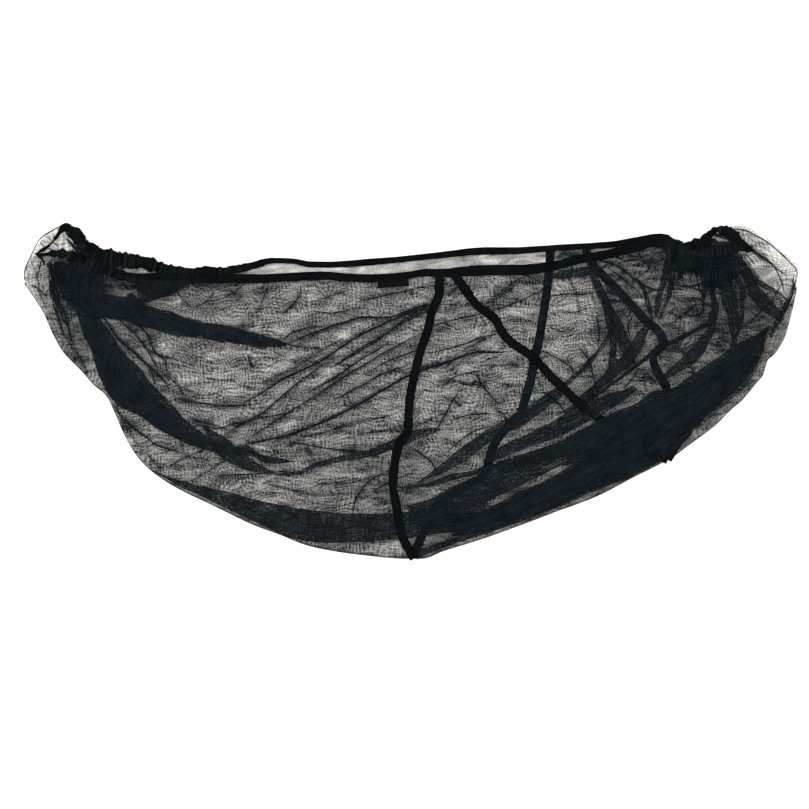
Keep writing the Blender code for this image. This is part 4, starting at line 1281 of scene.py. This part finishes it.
def solid_strip(cloth, line, heights, widths, thick, ruffle=None, closed=False, crowd=None):
    """A thin closed band along a line: ruffle scallops and lifts it where it is gathered."""
    crowd = np.ones(len(line)) if crowd is None else crowd
    across, up = rounded_section(count=14, sharp=0.5)
    ways = np.roll(line, -1, axis=0) - np.roll(line, 1, axis=0) if closed else np.gradient(line, axis=0)
    offset = across[None, :] * (widths[:, None] / 2)
    z = heights[:, None] + thick / 2 * up[None, :]
    if ruffle is not None:
        scallop, lift = ruffle
        offset = offset + np.sign(across)[None, :] * scallop[:, None] * np.abs(across)[None, :] ** 3
        z = z + lift[:, None] * (0.6 + 0.4 * np.abs(across)[None, :])
    plan = line[:, None] + normals(ways)[:, None] * offset[..., None]
    points = np.concatenate((plan, z[..., None]), axis=2)
    around = run_around(points)
    uv = np.stack((np.broadcast_to(run_along(line)[:, None], around.shape), around), -1)
    if closed:
        points = np.concatenate((points, points[:1]))
        step = np.linalg.norm(line[0] - line[-1])
        uv = np.concatenate((uv, uv[-1:] + (step, 0)))
        crowd = np.append(crowd, crowd[0])
        cloth.grid(points, uv, crowd[:, None], closed=True)
    else:
        cloth.tube(points, uv, crowd[:, None])


def finish_piece(piece, slot, *nodes):
    """Says what a piece rides on and hides the solids that it stands for; its finish, the slot, is not used.
    """
    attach(piece, "root")
    if nodes:
        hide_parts(*nodes)


def merge_closed(piece):
    """Joins the doubled ring of a closed band and turns its faces outwards."""
    shell = bmesh.new()
    shell.from_mesh(piece.data)
    bmesh.ops.remove_doubles(shell, verts=shell.verts, dist=1e-6)
    bmesh.ops.recalc_face_normals(shell, faces=shell.faces)
    shell.to_mesh(piece.data)
    shell.free()


def stitch_tree(material):
    """Geometry Nodes: a short thread lies at every stitch of the rows."""
    tree = bpy.data.node_groups.new("Rows of stitches", "GeometryNodeTree")
    tree.interface.new_socket("Rows", in_out="INPUT", socket_type="NodeSocketGeometry")
    for name, default in (("Pitch", 0.003), ("Length", 0.0022), ("Thickness", 0.0006)):
        socket = tree.interface.new_socket(name, in_out="INPUT", socket_type="NodeSocketFloat")
        socket.subtype, socket.default_value = "DISTANCE", default
    tree.interface.new_socket("Stitches", in_out="OUTPUT", socket_type="NodeSocketGeometry")
    given = add(tree, "NodeGroupInput").outputs
    rows = add(tree, "GeometryNodeMeshToCurve", {0: given["Rows"]})
    spaced = add(tree, "GeometryNodeResampleCurve", {"Curve": rows.outputs[0], "Length": given["Pitch"]},
                 mode="LENGTH")
    tangent = add(tree, "GeometryNodeInputTangent")
    aligned = add(tree, "FunctionNodeAlignRotationToVector", {"Vector": tangent.outputs[0]}, axis="X")
    half = combine(tree, "MULTIPLY", given["Thickness"], 0.5)
    thread = add(tree, "GeometryNodeMeshUVSphere", {"Segments": 6, "Rings": 4, "Radius": 0.5})
    size = add(tree, "ShaderNodeCombineXYZ", {0: given["Length"], 1: given["Thickness"], 2: half})
    placed = add(tree, "GeometryNodeInstanceOnPoints", {
        "Points": spaced.outputs[0], "Instance": thread.outputs[0], "Rotation": aligned.outputs[0],
        "Scale": size.outputs[0]})
    real = add(tree, "GeometryNodeRealizeInstances", {0: placed.outputs[0]})
    painted = add(tree, "GeometryNodeSetMaterial", {0: real.outputs[0], "Material": material})
    add(tree, "NodeGroupOutput", {0: painted.outputs[0]})
    return tree


def stitched(name, lines, material, pitch, length, thickness):
    """Stitches along lines of points, made by the node tree and turned into a plain mesh."""
    sizes = {"Pitch": pitch, "Length": length, "Thickness": thickness}
    vertices, edges = [], []
    for line in lines:
        start = len(vertices)
        vertices += [tuple((p - (MIDDLE_X, MIDDLE_Y, 0.0)) * MM) for p in line]
        edges += [(start + i, start + i + 1) for i in range(len(line) - 1)]
    mesh = bpy.data.meshes.new(name + "_rows")
    mesh.from_pydata(vertices, edges, [])
    maker = linked(name + "_rows", mesh)
    tree = stitch_tree(material)
    modifier = maker.modifiers.new("Stitches", "NODES")
    modifier.node_group = tree
    for item in tree.interface.items_tree:
        if item.in_out == "INPUT" and item.name in sizes:
            modifier[item.identifier] = sizes[item.name]
    graph = bpy.context.evaluated_depsgraph_get()
    made = bpy.data.meshes.new_from_object(maker.evaluated_get(graph))
    made.name = name
    piece = linked(name, made)
    bpy.data.objects.remove(maker)
    return piece


# ---------------------------------------------------------------- settings


class NetSettings(bpy.types.PropertyGroup):
    """The three panels of net."""

    pitch: FloatProperty(name="Hole pitch", description="From one hole to the next", default=0.0015,
                         unit="LENGTH", precision=5)
    thread: FloatProperty(name="Thread width", description="Width of a thread", default=0.0004, unit="LENGTH",
                          precision=5)
    crinkle: FloatProperty(name="Crinkles", description="From one crinkle to the next", default=0.0044,
                           unit="LENGTH", precision=5)
    crinkling: FloatProperty(name="Crinkling", description="How far crinkles widen and narrow the threads",
                             default=0.85)
    slide: FloatProperty(name="Slide", description="How far slid cloth bends the rows of crinkles",
                         default=0.038, unit="LENGTH")
    streak: FloatProperty(name="Streaks", description="How far thread width varies in fine streaks",
                          default=0.6)
    spacing: FloatProperty(name="Mesh spacing", description="Spacing of the cloth's grid in millimetres",
                           default=2.8)
    colour: FloatVectorProperty(name="Colour", description="Dye of the net", subtype="COLOR", size=3,
                                default=(0.0022, 0.0036, 0.0046))


class TapeSettings(bpy.types.PropertyGroup):
    """The two seam tapes."""

    width: FloatProperty(name="Width", description="Width of a tape in millimetres", default=11.6)
    thick: FloatProperty(name="Thickness", description="Thickness of a tape in millimetres", default=0.7)
    stitch: FloatProperty(name="Stitch pitch", description="From one stitch to the next", default=0.0032,
                          unit="LENGTH", precision=5)


class BindingSettings(bpy.types.PropertyGroup):
    """The elastic binding round the mouth."""

    thick: FloatProperty(name="Thickness", description="Thickness of the folded binding in millimetres",
                         default=2.6)
    ruffle: FloatProperty(name="Ruffle", description="From one gather to the next in millimetres",
                          default=6.0)


class LabelSettings(bpy.types.PropertyGroup):
    """The blank label."""

    length: FloatProperty(name="Length", description="Length in millimetres", default=40.0)
    height: FloatProperty(name="Height", description="Height in millimetres", default=10.0)


class StageSettings(bpy.types.PropertyGroup):
    """Floor, lights and camera."""

    floor: FloatVectorProperty(name="Floor", description="Colour of the floor", subtype="COLOR", size=3,
                               default=colour("#f4f1ea")[:3])
    sky: FloatProperty(name="Sky", description="Strength of the light from all round", default=0.92)
    key: FloatProperty(name="Key", description="Power of the soft light above, in watts", default=79.0)
    across: FloatProperty(name="View width", description="Width that the camera sees at the table",
                          default=1.0603, unit="LENGTH")
    lens: FloatProperty(name="Lens", description="Focal length of the camera in millimetres", default=85.0)


# ---------------------------------------------------------------- operators


class NET_OT_panels(bpy.types.Operator):
    """Make the foot, gusset and head panels of net with all their folds"""

    bl_idname = "net.panels"
    bl_label = "Net panels"

    def execute(self, context):
        settings = context.scene.net_cloth
        material = net_material(settings)
        pile = shared_pile()
        cloths = {name: Cloth() for name in PANELS}
        for name in PANELS:
            panel_sheet(cloths[name], name, settings.spacing)
        # the folds lie over the stretch of the head seam's tape that is under the slack
        hidden = seam_points("head", "front", SEAM_ROWS)
        hidden = hidden[hidden[:, 1] < UNDER_SLACK]
        plan = between(*edges_of(hidden, np.full(len(hidden), 12.0)), np.linspace(0, 1, 7))
        pile.lay(plan[..., 0], plan[..., 1], layer_height(plan[..., 0], plan[..., 1], "front") + 1.6)
        lay_bands(cloths, pile)
        lay_narrow_folds(cloths, pile)
        lay_creases(cloths, pile)
        for name in PANELS:
            piece = cloths[name].mesh_object(f"{name}_panel_net", material)
            finish_piece(piece, "net", f"{name}_panel")
        return {"FINISHED"}


class NET_OT_tapes(bpy.types.Operator):
    """Make the two seam tapes and their stitching"""

    bl_idname = "net.tapes"
    bl_label = "Seam tapes"

    def add_side(self, cloth, seam, side, settings):
        """Adds the tape's stretch on one side of the bag and returns the two rows for its stitches."""
        pile = shared_pile()
        line = seam_points(seam, side, SEAM_ROWS)
        seed = SEED["tape_width"] + len(seam) + len(side)
        widths = settings.width * (1 + unevenness(len(line), seed, 0.035))
        plan = between(*edges_of(line, widths), np.linspace(0, 1, 5))
        if side == "back":
            heights = 0.45 + 0.2 * puff(line[:, 0], line[:, 1])
        else:
            heights = pile.height_for(plan[..., 0], plan[..., 1], 0.7).max(axis=1)
            if seam == "head":
                under = layer_height(plan[..., 0], plan[..., 1], side).max(axis=1) + 0.9
                heights = np.where(line[:, 1] < UNDER_SLACK, under, heights)
                heights = np.convolve(np.pad(heights, 3, mode="edge"), np.full(7, 1 / 7), "valid")
            pile.lay(plan[..., 0], plan[..., 1], (heights + 0.4)[:, None] * np.ones((1, 5)))
        solid_strip(cloth, line, heights, widths, settings.thick)
        return [np.column_stack((edge, heights + settings.thick * 0.46))[2:]
                for edge in edges_of(line, widths - 2 * TAPE_STITCH_INSET)]

    def execute(self, context):
        settings = context.scene.net_tapes
        material = ribbed_material("polyester_tape_woven_black", "#020304", "#131a1d",
                                   rib=0.0011, rough=0.6, bump=0.0003)
        thread = thread_material("polyester_thread_spun_black", "#0b0f10")
        for seam in ("foot", "head"):
            cloth = Cloth()
            self.add_side(cloth, seam, "back", settings)
            rows = self.add_side(cloth, seam, "front", settings)  # only the front stretch shows its stitches
            piece = cloth.mesh_object(f"{seam}_seam_tape_woven", material)
            merge_closed(piece)
            finish_piece(piece, "tape", f"{seam}_seam_tape")
            stitches = stitched(f"{seam}_tape_stitches", rows, thread, pitch=settings.stitch, length=0.0024,
                                thickness=0.0007)
            finish_piece(stitches, "tape")
        return {"FINISHED"}


class NET_OT_binding(bpy.types.Operator):
    """Make the binding round the mouth with its elastic gathers and stitching"""

    bl_idname = "net.binding"
    bl_label = "Mouth binding"

    def execute(self, context):
        settings = context.scene.net_binding
        # the second colour is the binding's paler patches and also the painted highlight on its gathered
        # ridges
        material = ribbed_material("polyester_binding_knitted_black", "#020304", "#12191b",
                                   rib=0.0016, rough=0.6, bump=0.0004)
        thread = thread_material("polyester_thread_spun_black_binding", "#0c1011")
        at, rows = route(BINDING + (BINDING[0],), 1.4)
        rows, at = rows[:-1], at[:-1]
        count = len(at)
        x, y, z, width, gather = rows.T
        # the pace goes through a full turn at each ruffle, and swell makes some fuller than others
        pace = 2 * np.pi * at / settings.ruffle + 1.5 * unevenness(count, SEED["slow_pace"], 0.5, 20)
        pace = pace + 2.2 * unevenness(count, SEED["quick_pace"], 0.6, 7)
        swell = 0.55 + np.clip(0.5 + unevenness(count, SEED["swell"], 0.5, 9), 0.0, 1.2)
        crest = np.sin(pace + RUFFLE_LAG)
        scallop = gather * (RUFFLE_REACH * swell * np.sin(pace) + unevenness(count, SEED["scallop"], 1.1, 4))
        lift = gather * (RUFFLE_RISE * swell * crest + 0.7 * np.sin(pace * 0.61) + 1.0)
        seed = SEED["binding_line"]
        line = np.column_stack((x, y)) + sway(count, (seed, seed + 1), 0.25, 12) * (0.4 + gather)[:, None]
        # painted highlight: the ruffles' crests get a paler colour through the crowd attribute, unevenly from
        # crest to crest
        ridge = 1 + gather * swell * (0.5 + 0.5 * crest) * (0.6 + unevenness(count, SEED["wear_and_highlight"], 0.4, 3))
        cloth = Cloth()
        solid_strip(cloth, line, z, width, settings.thick, (scallop, lift), closed=True, crowd=ridge)
        piece = cloth.mesh_object("mouth_binding_knitted", material)
        merge_closed(piece)
        finish_piece(piece, "binding", "mouth_binding")
        top = z + settings.thick * 0.5 + lift
        rows = [np.column_stack((edge, top)) for edge in edges_of(line, width - 2 * BINDING_STITCH_INSET)]
        stitches = stitched("mouth_binding_stitches", rows, thread, pitch=0.0034, length=0.0026,
                            thickness=0.0007)
        finish_piece(stitches, "binding")
        return {"FINISHED"}


class NET_OT_label(bpy.types.Operator):
    """Make the blank label below the front of the mouth"""

    bl_idname = "net.label"
    bl_label = "Label"

    def execute(self, context):
        settings = context.scene.net_label
        material = ribbed_material("polyester_satin_label_woven_black", "#030404", "#070809",
                                   rib=0.0007, rough=0.45, bump=0.0001)
        px, py, turn = LABEL_PLACE
        way = np.array((math.cos(math.radians(turn)), math.sin(math.radians(turn))))
        steps = np.linspace(-0.5, 0.5, 24)[:, None] * settings.length
        line = np.array((px, py)) + steps * way
        widths = np.full(len(line), settings.height)
        plan = between(*edges_of(line, widths), np.linspace(0, 1, 5))
        heights = shared_pile().height_for(plan[..., 0], plan[..., 1], 0.6).max(axis=1)
        cloth = Cloth()
        solid_strip(cloth, line, np.maximum(heights, heights.mean()), widths, 0.5)
        piece = cloth.mesh_object("label_satin", material)
        merge_closed(piece)
        finish_piece(piece, "label", "label")
        return {"FINISHED"}


class NET_OT_stage(bpy.types.Operator):
    """Make the floor, the soft lights and the camera straight above"""

    bl_idname = "net.stage"
    bl_label = "Stage"

    def execute(self, context):
        settings = context.scene.net_stage
        scene = context.scene
        mesh = bpy.data.meshes.new("floor")
        side = 6.0
        corners = [(x * side, y * side, 0) for x, y in ((-1, -1), (1, -1), (1, 1), (-1, 1))]
        mesh.from_pydata(corners, [], [(0, 1, 2, 3)])
        mesh.materials.append(floor_material(settings))
        floor = linked("floor", mesh)
        world = bpy.data.worlds.new("soft_studio")
        world.use_nodes = True
        sky = world.node_tree.nodes["Background"]
        sky.inputs[0].default_value = (1.0, 1.0, 1.0, 1.0)
        sky.inputs[1].default_value = settings.sky
        scene.world = world
        for name, place, power, size in (("key", (-0.9, 0.9, 2.6), settings.key, 2.2),
                                         ("fill", (1.4, -0.6, 2.8), settings.key * 0.6, 2.6)):
            light = bpy.data.lights.new(name, "AREA")
            light.energy, light.size = power, size
            lamp = linked(name, light)
            lamp.location = place
            aim = math.atan2(math.hypot(place[0], place[1]), place[2])
            lamp.rotation_euler = (0, aim, math.atan2(place[1], place[0]))
        lens = bpy.data.cameras.new("camera")
        lens.lens = settings.lens
        lens.clip_end = 50.0
        eye = linked("camera", lens)
        eye.location = (-0.0076, -0.0178, settings.across * settings.lens / lens.sensor_width)
        scene.camera = eye
        scene.view_settings.view_transform = "Standard"
        scene.cycles.transparent_max_bounces = 24
        return {"FINISHED"}


class NET_PT_maker(bpy.types.Panel):
    """Lists the pieces of the net"""

    bl_idname = "NET_PT_maker"
    bl_label = "Mosquito net"
    bl_space_type = "VIEW_3D"
    bl_region_type = "UI"
    bl_category = "Net"

    def draw(self, context):
        scene = context.scene
        for operator, group in (("net.panels", scene.net_cloth), ("net.tapes", scene.net_tapes),
                                ("net.binding", scene.net_binding), ("net.label", scene.net_label),
                                ("net.stage", scene.net_stage)):
            box = self.layout.box()
            box.operator(operator)
            for name in group.__annotations__:
                box.prop(group, name)


GROUPS = {
    "net_cloth": NetSettings,
    "net_tapes": TapeSettings,
    "net_binding": BindingSettings,
    "net_label": LabelSettings,
    "net_stage": StageSettings,
}
CLASSES = (NET_OT_panels, NET_OT_tapes, NET_OT_binding, NET_OT_label, NET_OT_stage, NET_PT_maker)


def register():
    for name, group in GROUPS.items():
        bpy.utils.register_class(group)
        setattr(bpy.types.Scene, name, PointerProperty(type=group))
    for item in CLASSES:
        bpy.utils.register_class(item)


def unregister():
    for item in reversed(CLASSES):
        bpy.utils.unregister_class(item)
    for name, group in GROUPS.items():
        delattr(bpy.types.Scene, name)
        bpy.utils.unregister_class(group)


def main():
    register()
    bpy.ops.net.stage()
    bpy.ops.net.panels()
    bpy.ops.net.tapes()
    bpy.ops.net.binding()
    bpy.ops.net.label()


if __name__ == "__main__":
    main()
